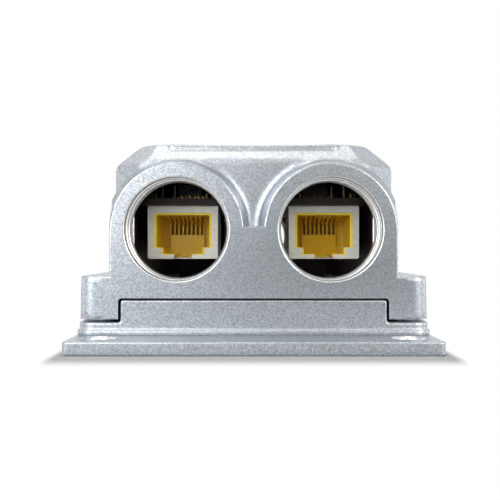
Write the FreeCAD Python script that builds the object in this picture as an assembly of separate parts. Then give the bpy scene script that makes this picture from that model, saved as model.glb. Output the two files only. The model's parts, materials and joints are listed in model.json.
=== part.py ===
import FreeCAD, Part
import math
import os

# Weatherproof power over Ethernet extender, in millimetres.
# The origin is the middle of the underside, +Z is up and the two output ports face -Y.
# A depth is measured inwards from the front or the rear face of the housing.

# Housing casting
HOUSING_LENGTH = 96.0
BODY_HALF_WIDTH = 29.9
HOUSING_TOP_Z = 43.2
WALL = 2.7
RECESS_DEPTH = 4.0
CORNER_TOP_HALF_WIDTH = 24.5
CORNER_SIDE_Z = 38.3
CORNER_ROUND = 3.0
RIDGE_ROUND = 1.0

# Sloped ends of the housing
FACE_HALF_WIDTH = 24.2
SIDE_CHAMFER_DEPTH = 4.2
HIP_FOOT_HALF_WIDTH = 22.2
HIP_HEAD_HALF_WIDTH = 20.4
HIP_SIDE_HALF_WIDTH = 29.3
HIP_SIDE_DEPTH = 8.5
HIP_SIDE_Z = 38.9
LIP_HALF_WIDTH = 19.2
LIP_HEIGHT = 1.5
LIP_LENGTH = 12.0
LIP_CORNER = 2.2
LIP_ROUND = 1.0
TOP_DISH = 0.35

# Cable ports
PORT_OFFSET_X = 15.95
PORT_Z = 24.7
PORT_THREAD_RADIUS = 10.8
PORT_DEPTH = 8.6
PORT_CHAMFER = 0.15
BOSS_FACE_RADIUS = 13.8
BOSS_ROOT_RADIUS = 14.7
BOSS_BASE_RADIUS = 15.3
BOSS_FOOT_HEIGHT = 0.6
BOSS_FOOT_ROUND = 0.8
BOSS_EDGE_ROUND = 0.4
RAMP_FOOT_RISE = 14.7
FRONT_BLOCK_TOP_Z = 25.2
REAR_BLOCK_TOP_Z = 17.5

# Skirt round the foot of the housing
SKIRT_BOTTOM_Z = 6.1
SKIRT_TOP_Z = 15.0
SKIRT_HALF_WIDTH = 36.3
SKIRT_DRAFT = 0.2
SKIRT_CORNER = 3.0
SKIRT_TOP_ROUND = 0.4
POCKET_WALL = 1.6
POCKET_WIDTH = 4.0
POCKET_ROOF = 2.6
POCKET_CORNER = 1.6

# Slot in the foot of the housing that the rim of the base cover fills
RIM_SIDE_GAP = 0.5
RIM_TOP_GAP = 0.36
NOTCH_CORNER = 0.8
LEDGE_WIDTH = 2.8
LEDGE_HEIGHT = 2.3

# Base cover casting
PLINTH_HALF_WIDTH = 36.5
PLINTH_GAP = 0.6
PLINTH_CORNER = 3.2
PLINTH_EDGE_ROUND = 0.4
FLANGE_OUTSET = 0.45
FLANGE_HEIGHT = 1.2
FLANGE_ROUND = 0.4
RIM_HALF_WIDTH = 27.5
RIM_HEIGHT = 4.55
RIM_THICKNESS = 3.4
RIM_CORNER = 0.5
RIM_ROOT_ROUND = 0.5
RIM_EDGE_ROUND = 0.35
TRAY_FLOOR = 2.2
TRAY_CORNER = 2.0
TRAY_RIB_WIDTH = 1.6
TRAY_RIB_HEIGHT = 1.4
TRAY_RIB_PITCH = 12.0
TRAY_RIB_COUNT = 5

# Mounting plate
PLATE_HALF_WIDTH = 37.0
PLATE_OUTSET = 11.3
PLATE_THICKNESS = 2.75
PLATE_CORNER = 1.0
PLATE_EDGE_ROUND = 0.35
PLATE_HOLE_INSET = 5.8
PLATE_HOLE_OUTSET = 4.3
PLATE_HOLE_RADIUS = 3.0
PLATE_HOLE_CHAMFER = 0.5

# Seal cord in the top of the rim
SEAL_INSET = 1.7
SEAL_CORNER = 3.0
GROOVE_WIDTH = 1.5
GROOVE_DEPTH = 1.0
SEAL_GAP = 0.03

# Screws
SCREW_RADIUS = 1.5
TAPPED_RADIUS = 1.56
THROUGH_RADIUS = 1.75
HEAD_RADIUS = 2.75
HEAD_HEIGHT = 1.6
HEAD_GAP = 0.1
HEAD_EDGE_ROUND = 0.4
HEX_RADIUS = 1.2
HEX_DEPTH = 0.9
HOLE_RUN_OUT = 1.0
COVER_SCREW_X = 31.8
COVER_SCREW_INSET = 7.0
COVER_SCREW_GRIP = 6.0
SEAT_PAD_RADIUS = 2.9
PLATE_SCREW_X = 15.0
PLATE_SCREW_Y = 32.0
PLATE_SCREW_GRIP = 4.0
TRAY_BOSS_RADIUS = 3.4
TRAY_BOSS_HEIGHT = 3.6
BOARD_SCREW_GRIP = 5.0
POST_RADIUS = 3.1
EARTH_SCREW_X = 19.3
EARTH_SCREW_Z = 27.0
EARTH_SCREW_GRIP = 6.0
EARTH_HEAD_ROUND = 0.7
DRIVE_SLOT_LENGTH = 3.2
DRIVE_SLOT_WIDTH = 0.8
EARTH_BOSS_RADIUS = 3.6
EARTH_BOSS_DEPTH = 6.0
WASHER_RADIUS = 3.6
WASHER_THICKNESS = 0.7
WASHER_TEETH = 10
WASHER_NOTCH_RADIUS = 0.42

# Main board
BOARD_BOTTOM_Z = 30.45
BOARD_THICKNESS = 1.6
BOARD_SIDE_GAP = 1.2
BOARD_END_DEPTH = 13.8
BOARD_CORNER = 2.5
SEAT_GAP = 0.05
TOUCH = 0.01
CLEAR = 1.0
MID_POST_X = 22.6
FRONT_POST_DEPTH = 21.0
REAR_POST_X = 20.4
REAR_POST_DEPTH = 18.5

# Port jacks
JACK_FACE_DEPTH = 15.6
JACK_LENGTH = 18.0
JACK_WIDTH = 15.9
JACK_HEIGHT = 12.0
SHEET = 0.25
INSERT_GAP = 0.06
MOUTH_HALF_WIDTH = 6.55
MOUTH_TOP_WALL = 1.6
MOUTH_HEIGHT = 7.9
MOUTH_STEP_HALF_WIDTH = 4.9
MOUTH_STEP_HEIGHT = 1.6
LATCH_HALF_WIDTH = 2.05
LATCH_NOTCH_LENGTH = 1.5
SOCKET_HALF_WIDTH = 6.0
SOCKET_TOP_WALL = 2.1
SOCKET_HEIGHT = 7.3
SOCKET_STEP_HALF_WIDTH = 4.5
SOCKET_STEP_HEIGHT = 1.5
SOCKET_LATCH_HALF_WIDTH = 1.95
SOCKET_DEPTH = 13.0
LATCH_SLOT_LENGTH = 8.0
PANEL_HALF_WIDTH = 4.15
PANEL_RISE = 1.5
CONTACT_COUNT = 8
CONTACT_PITCH = 1.02
CONTACT_WIDTH = 0.42
CONTACT_THICKNESS = 0.28
CONTACT_SLOT_WIDTH = 0.6
CONTACT_RUN_WALL = 1.0
CONTACT_BEND_DEPTH = 1.1
CONTACT_TIP_DEPTH = 12.2
CONTACT_TIP_WALL = 3.9
COMB_DEPTH = 3.2
COMB_HEIGHT = 4.2
TAIL_DEPTHS = (14.8, 16.6)
TAIL_HEIGHT = 1.6
TAIL_HOLE_RADIUS = 0.4
PEG_DEPTH = 8.0
PEG_WIDTH = 1.5
PEG_HOLE_RADIUS = 0.95

# Parts that hang under the board, as width, length and height
PART_SPACING = 1.2
PORT_TRANSFORMER = (12.4, 9.4, 6.3)
SWITCH_CHIP = (11.0, 11.0, 1.4)
BRIDGE = (5.0, 6.0, 2.5)
BRIDGE_SPACING = 7.2
CRYSTAL = (5.0, 2.4, 1.0)
TRANSISTOR = (6.0, 4.4, 2.2)
RESISTOR = (6.3, 3.2, 0.7)
MIDDLE_ROW_X = 13.0
CORE = (14.8, 14.0, 5.2)
CORE_POST_WIDTH = 4.4
CORE_WINDOW_WIDTH = 2.8
CORE_YOKE = 2.0
WINDING_GAP = 0.12
WINDING_HEIGHT = 10.2
WINDING_ROUND = 1.2
CORE_X = 16.4
CHOKE_X = 17.6
CHOKE_RADIUS = 5.0
CHOKE_HUB_RADIUS = 2.2
CHOKE_HEIGHT = 8.6
CHOKE_FLANGE = 1.3
COIL_SET_BACK = 0.4
CAPACITOR_RADIUS = 3.95
CAPACITOR_HEIGHT = 11.2
CAPACITOR_NECK = 0.35
CAPACITOR_NECK_DROP = 1.1
MOULD_BEVEL = 0.35
CRYSTAL_ROUND = 1.0
OUTER_CAPACITOR_X = 17.2
INNER_CAPACITOR_X = 12.3
MIDDLE_HEAD_SPACING = 1.0

# Parts that stand on the top of the board
CONTROLLER = (7.0, 7.0, 0.9)
CONTROLLER_X = 14.0
ARRESTER_RADIUS = 2.6
ARRESTER_LENGTH = 6.0
ARRESTER_ROUND = 0.3
LAMP = (1.6, 0.8, 0.7)
LAMP_PITCH = 5.0
LAMP_DEPTH = 28.0
LAMP_AIR_GAP = 0.4
GUIDE_RADIUS = 1.3
GUIDE_GAP = 0.05
GUIDE_FLANGE_RADIUS = 2.0
GUIDE_FLANGE = 0.8

# Heights and lengths that follow from the sizes above
END_Y = HOUSING_LENGTH / 2
PLINTH_TOP_Z = SKIRT_BOTTOM_Z - PLINTH_GAP
RIM_TOP_Z = PLINTH_TOP_Z + RIM_HEIGHT
NOTCH_TOP_Z = RIM_TOP_Z + RIM_TOP_GAP
NOTCH_HALF_WIDTH = RIM_HALF_WIDTH + RIM_SIDE_GAP
LEDGE_TOP_Z = NOTCH_TOP_Z + LEDGE_HEIGHT
RAMP_FOOT_Z = PORT_Z + RAMP_FOOT_RISE
RAMP_HEAD_DEPTH = RECESS_DEPTH + HOUSING_TOP_Z - RAMP_FOOT_Z
TRAY_FLOOR_Z = PLATE_THICKNESS + TRAY_FLOOR
BOARD_TOP_Z = BOARD_BOTTOM_Z + BOARD_THICKNESS
JACK_TOP_Z = BOARD_BOTTOM_Z - SEAT_GAP
JACK_BOTTOM_Z = JACK_TOP_Z - JACK_HEIGHT
ROOF_Z = HOUSING_TOP_Z - WALL
PLATE_HOLE_X = PLATE_HALF_WIDTH - PLATE_HOLE_INSET
CUTTER = 4 * HOUSING_LENGTH
HAIR = 1e-6

FRONT = -1
REAR = 1
PORTS = {
    "out_port_1": (FRONT, -PORT_OFFSET_X),
    "out_port_2": (FRONT, PORT_OFFSET_X),
    "in_port": (REAR, 0.0),
}


def vec(x, y, z):
    return FreeCAD.Vector(x, y, z)


def inward(end, depth):
    """The y of a depth behind the front or the rear face."""
    return end * (END_Y - depth)


def box_between(low, high):
    """An upright box between two corners, in any order."""
    a = [min(p, q) for p, q in zip(low, high)]
    b = [max(p, q) for p, q in zip(low, high)]
    return Part.makeBox(b[0] - a[0], b[1] - a[1], b[2] - a[2], vec(*a))


def upright(radius, low, high, x, y):
    """A vertical cylinder."""
    return Part.makeCylinder(radius, high - low, vec(x, y, low))


def rounded_wire(corners, radii):
    """A closed flat wire through corner points, with an arc at each corner that has a radius."""
    points = []
    count = len(corners)
    for i, corner in enumerate(corners):
        before = (corners[i - 1] - corner).normalize()
        after = (corners[(i + 1) % count] - corner).normalize()
        radius = radii[i]
        if radius <= 0:
            points.append((corner, corner, corner))
            continue
        half = before.getAngle(after) / 2
        reach = radius / math.tan(half)
        middle = (before + after).normalize() * (radius / math.sin(half) - radius)
        points.append((corner + before * reach, corner + middle, corner + after * reach))
    edges = []
    for i, (start, middle, end) in enumerate(points):
        if start.distanceToPoint(end) > HAIR:
            edges.append(Part.Arc(start, middle, end).toShape())
        following = points[(i + 1) % count][0]
        if end.distanceToPoint(following) > HAIR:
            edges.append(Part.LineSegment(end, following).toShape())
    return Part.Wire(edges)


def plan_wire(half_x, half_y, corner, z):
    """A rounded rectangle about the origin, lying flat."""
    signs = ((-1, -1), (1, -1), (1, 1), (-1, 1))
    corners = [vec(sx * half_x, sy * half_y, z) for sx, sy in signs]
    return rounded_wire(corners, [corner] * 4)


def plan_slab(half_x, half_y, corner, low, high):
    """A flat slab with rounded corners in plan."""
    return Part.Face(plan_wire(half_x, half_y, corner, low)).extrude(vec(0, 0, high - low))


def across(points, radii, y_from, y_to):
    """A solid whose outline is drawn in X and Z and runs along Y."""
    wire = rounded_wire([vec(x, y_from, z) for x, z in points], radii)
    return Part.Face(wire).extrude(vec(0, y_to - y_from, 0))


def edges_where(shape, test):
    """The edges whose middle point passes a test."""
    found = []
    for edge in shape.Edges:
        middle = edge.valueAt((edge.FirstParameter + edge.LastParameter) / 2)
        if test(middle, edge):
            found.append(edge)
    return found


def beyond(point, normal):
    """A large block that fills the outer side of a plane."""
    block = Part.makeBox(2 * CUTTER, 2 * CUTTER, CUTTER, vec(-CUTTER, -CUTTER, 0))
    block.Placement = FreeCAD.Placement(point, FreeCAD.Rotation(vec(0, 0, 1), normal))
    return block


def end_planes(end, side):
    """The ramp, the side chamfer and the hip of one top corner, each as a point and its outward normal."""
    ramp = (vec(0, inward(end, RECESS_DEPTH), RAMP_FOOT_Z), vec(0, end, 1))
    chamfer_point = vec(side * FACE_HALF_WIDTH, inward(end, RECESS_DEPTH), RAMP_FOOT_Z)
    chamfer_run = BODY_HALF_WIDTH - FACE_HALF_WIDTH
    chamfer = (chamfer_point, vec(side * SIDE_CHAMFER_DEPTH, end * chamfer_run, 0))
    foot = vec(side * HIP_FOOT_HALF_WIDTH, inward(end, RECESS_DEPTH), RAMP_FOOT_Z)
    head = vec(side * HIP_HEAD_HALF_WIDTH, inward(end, RAMP_HEAD_DEPTH), HOUSING_TOP_Z)
    flank = vec(side * HIP_SIDE_HALF_WIDTH, inward(end, HIP_SIDE_DEPTH), HIP_SIDE_Z)
    hip_normal = (head - foot).cross(flank - foot)
    hip = (foot, hip_normal if hip_normal.z > 0 else hip_normal * -1)
    return ramp, chamfer, hip


def shoulder_plane(side):
    """The sloped shoulder along one side of the roof."""
    drop = HOUSING_TOP_Z - CORNER_SIDE_Z
    run = BODY_HALF_WIDTH - CORNER_TOP_HALF_WIDTH
    return vec(side * CORNER_TOP_HALF_WIDTH, 0, HOUSING_TOP_Z), vec(side * drop, 0, run)


def faceted_body(inset, low):
    """The block of the housing with its sloped shoulders and ends, every face moved in by the inset."""
    half = BODY_HALF_WIDTH - inset
    reach = END_Y - RECESS_DEPTH - inset
    body = box_between((-half, -reach, low), (half, reach, HOUSING_TOP_Z - inset))
    planes = [shoulder_plane(side) for side in (-1, 1)]
    for end in (FRONT, REAR):
        for side in (-1, 1):
            planes.extend(end_planes(end, side))
    for point, normal in planes:
        unit = vec(*normal).normalize()
        body = body.cut(beyond(point - unit * inset, unit))
    return body.removeSplitter()


def softened_body():
    """The outer block with its long shoulder edges and the ridges of its ends rounded."""
    body = faceted_body(0, NOTCH_TOP_Z)
    body = body.makeFillet(CORNER_ROUND, edges_where(body, lambda m, e: abs(m.y) < 1 and m.z > PORT_Z))
    face_y = END_Y - RECESS_DEPTH
    sloped_y = face_y - HIP_SIDE_DEPTH

    def is_ridge(middle, edge):
        in_slope = sloped_y < abs(middle.y) < face_y - SEAT_GAP
        return in_slope and middle.z > PORT_Z - WALL and edge.Length > CORNER_ROUND / 2

    return body.makeFillet(RIDGE_ROUND, edges_where(body, is_ridge))


def lip(end):
    """The low upright lip where the ramp meets the roof."""
    front_depth = RAMP_HEAD_DEPTH - LIP_HEIGHT
    near = inward(end, front_depth)
    far = inward(end, front_depth + LIP_LENGTH)
    low = HOUSING_TOP_Z - LIP_HEIGHT
    slab = plan_slab(LIP_HALF_WIDTH, abs(near - far) / 2, LIP_CORNER, low, HOUSING_TOP_Z)
    slab = slab.makeFillet(LIP_ROUND, edges_where(slab, lambda m, e: abs(m.z - HOUSING_TOP_Z) < TOUCH))
    slab.translate(vec(0, (near + far) / 2, 0))
    return slab


def dish():
    """The shallow hollow along the roof, as the cylinder that cuts it."""
    radius = (LIP_HALF_WIDTH ** 2 + TOP_DISH ** 2) / (2 * TOP_DISH)
    start = vec(0, -END_Y, HOUSING_TOP_Z - TOP_DISH + radius)
    return Part.makeCylinder(radius, HOUSING_LENGTH, start, vec(0, 1, 0))


def port_boss(end, x):
    """The drafted round boss that carries one cable port, with its flared foot."""
    profile = [
        (0, 0), (BOSS_FACE_RADIUS, 0), (BOSS_ROOT_RADIUS, RECESS_DEPTH - BOSS_FOOT_HEIGHT),
        (BOSS_BASE_RADIUS, RECESS_DEPTH), (BOSS_BASE_RADIUS, PORT_DEPTH), (0, PORT_DEPTH),
    ]
    corners = [vec(x, inward(end, depth), PORT_Z + radius) for radius, depth in profile]
    face = Part.Face(rounded_wire(corners, [0, BOSS_EDGE_ROUND, BOSS_FOOT_ROUND, 0, 0, 0]))
    return face.revolve(vec(x, 0, PORT_Z), vec(0, end, 0), 360)


def end_block(end, top_z):
    """The flat lower face of one end, between the skirt and the bosses."""
    low = (-BODY_HALF_WIDTH, inward(end, 0), NOTCH_TOP_Z)
    block = box_between(low, (BODY_HALF_WIDTH, inward(end, PORT_DEPTH), top_z))

    def is_front_corner(middle, edge):
        return abs(abs(middle.x) - BODY_HALF_WIDTH) < TOUCH and abs(abs(middle.y) - END_Y) < TOUCH

    return block.makeFillet(BOSS_EDGE_ROUND, edges_where(block, is_front_corner))


def skirt():
    """The wide drafted foot that runs round the housing."""
    foot = plan_wire(SKIRT_HALF_WIDTH, END_Y, SKIRT_CORNER, SKIRT_BOTTOM_Z)
    top = plan_wire(SKIRT_HALF_WIDTH - SKIRT_DRAFT, END_Y, SKIRT_CORNER, SKIRT_TOP_Z)
    form = Part.makeLoft([foot, top], True, True)
    upper = edges_where(form, lambda m, e: abs(m.z - SKIRT_TOP_Z) < TOUCH)
    return form.makeFillet(SKIRT_TOP_ROUND, upper)


def cover_screw_places():
    """Middles of the screws that hold the base cover, along both sides."""
    rows = (-(END_Y - COVER_SCREW_INSET), 0.0, END_Y - COVER_SCREW_INSET)
    return [(side * COVER_SCREW_X, y) for side in (-1, 1) for y in rows]


def skirt_pockets():
    """Cored pockets in the skirt between the screw bosses, open below."""
    low_x = NOTCH_HALF_WIDTH + POCKET_WALL
    near = SEAT_PAD_RADIUS + POCKET_WALL
    far = END_Y - COVER_SCREW_INSET - near
    half_x = POCKET_WIDTH / 2
    half_y = (far - near) / 2
    roof_z = SKIRT_TOP_Z - POCKET_ROOF
    pockets = []
    for side in (-1, 1):
        for end in (-1, 1):
            slab = plan_slab(half_x, half_y, POCKET_CORNER, SKIRT_BOTTOM_Z, roof_z)
            slab.translate(vec(side * (low_x + half_x), end * (near + far) / 2, 0))
            pockets.append(slab)
    return pockets


def board_post_places():
    """Middles of the posts that carry the board."""
    return [
        (0.0, inward(FRONT, FRONT_POST_DEPTH)),
        (-MID_POST_X, 0.0),
        (MID_POST_X, 0.0),
        (-REAR_POST_X, inward(REAR, REAR_POST_DEPTH)),
        (REAR_POST_X, inward(REAR, REAR_POST_DEPTH)),
    ]


def lamp_places():
    """Middles of the status lamps and of the light guides above them."""
    return [(step * LAMP_PITCH, inward(FRONT, LAMP_DEPTH)) for step in (-1, 0, 1)]


def port_cutter(end, x):
    """The threaded hole of a port with the chamfer at its mouth."""
    mouth = vec(x, end * END_Y, PORT_Z)
    axis = vec(0, -end, 0)
    hole = Part.makeCylinder(PORT_THREAD_RADIUS, PORT_DEPTH, mouth, axis)
    wide = PORT_THREAD_RADIUS + PORT_CHAMFER
    lead_in = Part.makeCone(wide, PORT_THREAD_RADIUS, PORT_CHAMFER, mouth, axis)
    return hole.fuse(lead_in)


def housing_outside(bosses):
    """The outer form of the casting, still solid."""
    limit = box_between((-BODY_HALF_WIDTH, -END_Y, 0), (BODY_HALF_WIDTH, END_Y, RAMP_FOOT_Z))
    blocks = [end_block(FRONT, FRONT_BLOCK_TOP_Z), end_block(REAR, REAR_BLOCK_TOP_Z)]
    outer = softened_body().fuse([boss.common(limit) for boss in bosses] + blocks)
    outer = outer.fuse([lip(end) for end in (FRONT, REAR)]).cut(dish())
    return outer.fuse(skirt())


def housing_hollows():
    """The inner space, the ledge opening, the slot for the rim and the skirt pockets."""
    reach = END_Y - RECESS_DEPTH - WALL
    ledge_half = NOTCH_HALF_WIDTH - LEDGE_WIDTH
    ledge = box_between((-ledge_half, -reach, SKIRT_BOTTOM_Z), (ledge_half, reach, LEDGE_TOP_Z))
    half = NOTCH_HALF_WIDTH
    corners = [(-half, NOTCH_TOP_Z), (half, NOTCH_TOP_Z), (half, 0), (-half, 0)]
    notch = across(corners, [NOTCH_CORNER, NOTCH_CORNER, 0, 0], -END_Y, END_Y)
    return [faceted_body(WALL, LEDGE_TOP_Z), ledge, notch] + skirt_pockets()


def earth_boss():
    """The boss inside the rear wall that takes the earth screw."""
    start = vec(EARTH_SCREW_X, inward(REAR, RECESS_DEPTH + WALL / 2), EARTH_SCREW_Z)
    return Part.makeCylinder(EARTH_BOSS_RADIUS, EARTH_BOSS_DEPTH, start, vec(0, -1, 0))


def board_posts():
    top_z = ROOF_Z + WALL / 2
    return [upright(POST_RADIUS, BOARD_TOP_Z, top_z, x, y) for x, y in board_post_places()]


def housing():
    """The die-cast upper casing, hollow and open below."""
    bosses = [port_boss(end, x) for end, x in PORTS.values()]
    shell = housing_outside(bosses).cut(housing_hollows())
    rings = [boss.common(faceted_body(WALL / 2, LEDGE_TOP_Z)) for boss in bosses]
    shell = shell.fuse(rings + board_posts() + [earth_boss()]).removeSplitter()
    return shell.cut(housing_holes())


def housing_holes():
    """Port threads, tapped screw holes and light guide holes."""
    holes = [port_cutter(end, x) for end, x in PORTS.values()]
    for x, y in cover_screw_places():
        deep = SKIRT_BOTTOM_Z + COVER_SCREW_GRIP + HOLE_RUN_OUT
        holes.append(upright(TAPPED_RADIUS, SKIRT_BOTTOM_Z, deep, x, y))
    for x, y in board_post_places():
        deep = BOARD_TOP_Z + BOARD_SCREW_GRIP + HOLE_RUN_OUT
        holes.append(upright(TAPPED_RADIUS, BOARD_TOP_Z, deep, x, y))
    for x, y in lamp_places():
        holes.append(upright(GUIDE_RADIUS + GUIDE_GAP, ROOF_Z - WALL, HOUSING_TOP_Z + WALL, x, y))
    start = vec(EARTH_SCREW_X, inward(REAR, RECESS_DEPTH), EARTH_SCREW_Z)
    holes.append(Part.makeCylinder(TAPPED_RADIUS, EARTH_SCREW_GRIP + HOLE_RUN_OUT, start, vec(0, -1, 0)))
    return holes


def hex_socket(x, y, z):
    """The hexagonal recess in the underside of a screw head."""
    corners = []
    for step in range(6):
        turn = step * math.pi / 3
        corners.append(vec(x + HEX_RADIUS * math.cos(turn), y + HEX_RADIUS * math.sin(turn), z))
    face = Part.Face(Part.makePolygon(corners + [corners[0]]))
    return face.extrude(vec(0, 0, HEX_DEPTH))


def rising_screw(x, y, seat_z, grip):
    """A screw driven upwards, its head hanging under the seat."""
    low = seat_z - HEAD_HEIGHT
    head = upright(HEAD_RADIUS, low, seat_z, x, y)
    head = head.makeFillet(HEAD_EDGE_ROUND, edges_where(head, lambda m, e: abs(m.z - low) < TOUCH))
    screw = head.fuse(upright(SCREW_RADIUS, seat_z, seat_z + grip, x, y)).removeSplitter()
    return screw.cut(hex_socket(x, y, low))


def plinth():
    """The slab of the base cover, on a flange that is a little wider all round."""
    slab = plan_slab(PLINTH_HALF_WIDTH, END_Y, PLINTH_CORNER, PLATE_THICKNESS, PLINTH_TOP_Z)
    slab = slab.makeFillet(PLINTH_EDGE_ROUND, edges_where(slab, lambda m, e: abs(m.z - PLINTH_TOP_Z) < TOUCH))
    top_z = PLATE_THICKNESS + FLANGE_HEIGHT
    half_x, half_y, corner = (size + FLANGE_OUTSET for size in (PLINTH_HALF_WIDTH, END_Y, PLINTH_CORNER))
    flange = plan_slab(half_x, half_y, corner, PLATE_THICKNESS, top_z)
    upper = edges_where(flange, lambda m, e: abs(m.z - top_z) < TOUCH)
    return slab.fuse(flange.makeFillet(FLANGE_ROUND, upper))


def rim_outline():
    """The raised rim seen from the front, with rounded top corners and a hollow curve at its root."""
    root = RIM_HALF_WIDTH + RIM_ROOT_ROUND + TOUCH
    points = [
        (-root, PLINTH_TOP_Z - PLINTH_GAP), (root, PLINTH_TOP_Z - PLINTH_GAP), (root, PLINTH_TOP_Z),
        (RIM_HALF_WIDTH, PLINTH_TOP_Z), (RIM_HALF_WIDTH, RIM_TOP_Z),
        (-RIM_HALF_WIDTH, RIM_TOP_Z), (-RIM_HALF_WIDTH, PLINTH_TOP_Z), (-root, PLINTH_TOP_Z),
    ]
    return points, [0, 0, 0, RIM_ROOT_ROUND, RIM_CORNER, RIM_CORNER, RIM_ROOT_ROUND, 0]


def rim():
    """The raised rim as one block, with its upper edges at both ends rounded."""
    points, radii = rim_outline()
    block = across(points, radii, -END_Y, END_Y)

    def is_end_edge(middle, edge):
        return abs(abs(middle.y) - END_Y) < TOUCH and middle.z > PLINTH_TOP_Z + RIM_ROOT_ROUND

    return block.makeFillet(RIM_EDGE_ROUND, edges_where(block, is_end_edge))


def plate_screw_places():
    return [(sx * PLATE_SCREW_X, sy * PLATE_SCREW_Y) for sx in (-1, 1) for sy in (-1, 1)]


def seal_groove():
    """The groove for the seal cord, all round the top of the rim."""
    half_x = RIM_HALF_WIDTH - SEAL_INSET
    half_y = END_Y - SEAL_INSET
    floor_z = RIM_TOP_Z - GROOVE_DEPTH
    outer, inner = (
        plan_slab(half_x + grow, half_y + grow, SEAL_CORNER + grow, floor_z, RIM_TOP_Z + CLEAR)
        for grow in (GROOVE_WIDTH / 2, -GROOVE_WIDTH / 2)
    )
    return outer.cut(inner)


def tray_ribs():
    """Stiffening ribs across the floor of the tray."""
    half = RIM_HALF_WIDTH - RIM_THICKNESS
    ribs = []
    for step in range(TRAY_RIB_COUNT):
        y = (step - (TRAY_RIB_COUNT - 1) / 2) * TRAY_RIB_PITCH
        low = (-half - CLEAR, y - TRAY_RIB_WIDTH / 2, TRAY_FLOOR_Z - CLEAR)
        high = (half + CLEAR, y + TRAY_RIB_WIDTH / 2, TRAY_FLOOR_Z + TRAY_RIB_HEIGHT)
        ribs.append(box_between(low, high))
    return ribs


def cover_additions():
    """Ribs, plate screw bosses and the seat pads that the housing stands on."""
    additions = tray_ribs()
    boss_top = TRAY_FLOOR_Z + TRAY_BOSS_HEIGHT
    for x, y in plate_screw_places():
        additions.append(upright(TRAY_BOSS_RADIUS, TRAY_FLOOR_Z - CLEAR, boss_top, x, y))
    for x, y in cover_screw_places():
        additions.append(upright(SEAT_PAD_RADIUS, PLINTH_TOP_Z - CLEAR, SKIRT_BOTTOM_Z, x, y))
    return additions


def cover_holes():
    """Counterbored holes for the cover screws and tapped holes for the plate screws."""
    seat_z = cover_screw_seat_z()
    holes = []
    for x, y in cover_screw_places():
        holes.append(upright(THROUGH_RADIUS, 0, SKIRT_BOTTOM_Z + CLEAR, x, y))
        holes.append(upright(HEAD_RADIUS + HEAD_GAP, 0, seat_z, x, y))
    deep = PLATE_THICKNESS + PLATE_SCREW_GRIP + HOLE_RUN_OUT
    for x, y in plate_screw_places():
        holes.append(upright(TAPPED_RADIUS, 0, deep, x, y))
    return holes


def base_cover():
    """The die-cast tray that closes the housing from below."""
    cover = plinth().fuse(rim())
    half_x = RIM_HALF_WIDTH - RIM_THICKNESS
    half_y = END_Y - RIM_THICKNESS
    tray = plan_slab(half_x, half_y, TRAY_CORNER, TRAY_FLOOR_Z, RIM_TOP_Z + CLEAR)
    cover = cover.cut([tray, seal_groove()])
    cover = cover.fuse(cover_additions()).removeSplitter()
    return cover.cut(cover_holes())


def cover_screw_seat_z():
    """The height where the heads of the cover screws bear."""
    return PLATE_THICKNESS + HEAD_GAP + HEAD_HEIGHT


def mount_plate():
    """The mounting plate with a countersunk seat for each plate screw and four chamfered holes."""
    half_y = END_Y + PLATE_OUTSET
    plate = plan_slab(PLATE_HALF_WIDTH, half_y, PLATE_CORNER, 0, PLATE_THICKNESS)
    rims = edges_where(plate, lambda m, e: min(m.z, PLATE_THICKNESS - m.z) < TOUCH)
    plate = plate.makeFillet(PLATE_EDGE_ROUND, rims)
    wide = PLATE_HOLE_RADIUS + PLATE_HOLE_CHAMFER
    cuts = []
    for x, y in plate_hole_places():
        low = vec(x, y, PLATE_THICKNESS - PLATE_HOLE_CHAMFER)
        cuts.append(upright(PLATE_HOLE_RADIUS, -CLEAR, PLATE_THICKNESS + CLEAR, x, y))
        cuts.append(Part.makeCone(PLATE_HOLE_RADIUS, wide, PLATE_HOLE_CHAMFER, low))
    for x, y in plate_screw_places():
        cuts.append(countersunk_form(x, y, SEAT_GAP, PLATE_THICKNESS + CLEAR))
    return plate.cut(cuts)


def plate_hole_places():
    y = END_Y + PLATE_HOLE_OUTSET
    return [(sx * PLATE_HOLE_X, sy * y) for sx in (-1, 1) for sy in (-1, 1)]


def countersunk_form(x, y, grow, top_z):
    """A countersunk screw's outline, grown by a gap."""
    taper = HEAD_RADIUS - SCREW_RADIUS
    head = Part.makeCone(HEAD_RADIUS + grow, SCREW_RADIUS + grow, taper, vec(x, y, 0))
    return head.fuse(upright(SCREW_RADIUS + grow, taper, top_z, x, y)).removeSplitter()


def plate_screws():
    """Countersunk screws that hold the plate to the base cover."""
    screws = []
    for x, y in plate_screw_places():
        screw = countersunk_form(x, y, 0, PLATE_THICKNESS + PLATE_SCREW_GRIP)
        screws.append(screw.cut(hex_socket(x, y, 0)))
    return Part.makeCompound(screws)


def cover_screws():
    seat_z = cover_screw_seat_z()
    grip = SKIRT_BOTTOM_Z + COVER_SCREW_GRIP - seat_z
    return Part.makeCompound([rising_screw(x, y, seat_z, grip) for x, y in cover_screw_places()])


def board_screws():
    seat_z = BOARD_BOTTOM_Z - SEAT_GAP
    grip = BOARD_THICKNESS + BOARD_SCREW_GRIP
    return Part.makeCompound([rising_screw(x, y, seat_z, grip) for x, y in board_post_places()])


def seal_cord():
    """The rubber cord that lies in the groove and meets the ledge of the housing."""
    radius = (NOTCH_TOP_Z - RIM_TOP_Z + GROOVE_DEPTH) / 2 - SEAL_GAP
    half_x = RIM_HALF_WIDTH - SEAL_INSET
    half_y = END_Y - SEAL_INSET
    path = plan_wire(half_x, half_y, SEAL_CORNER, RIM_TOP_Z - GROOVE_DEPTH + SEAL_GAP + radius)
    start = path.Edges[0].valueAt(path.Edges[0].FirstParameter)
    heading = path.Edges[0].tangentAt(path.Edges[0].FirstParameter)
    section = Part.Wire(Part.makeCircle(radius, start, heading))
    return path.makePipeShell([section], True, False)


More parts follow.
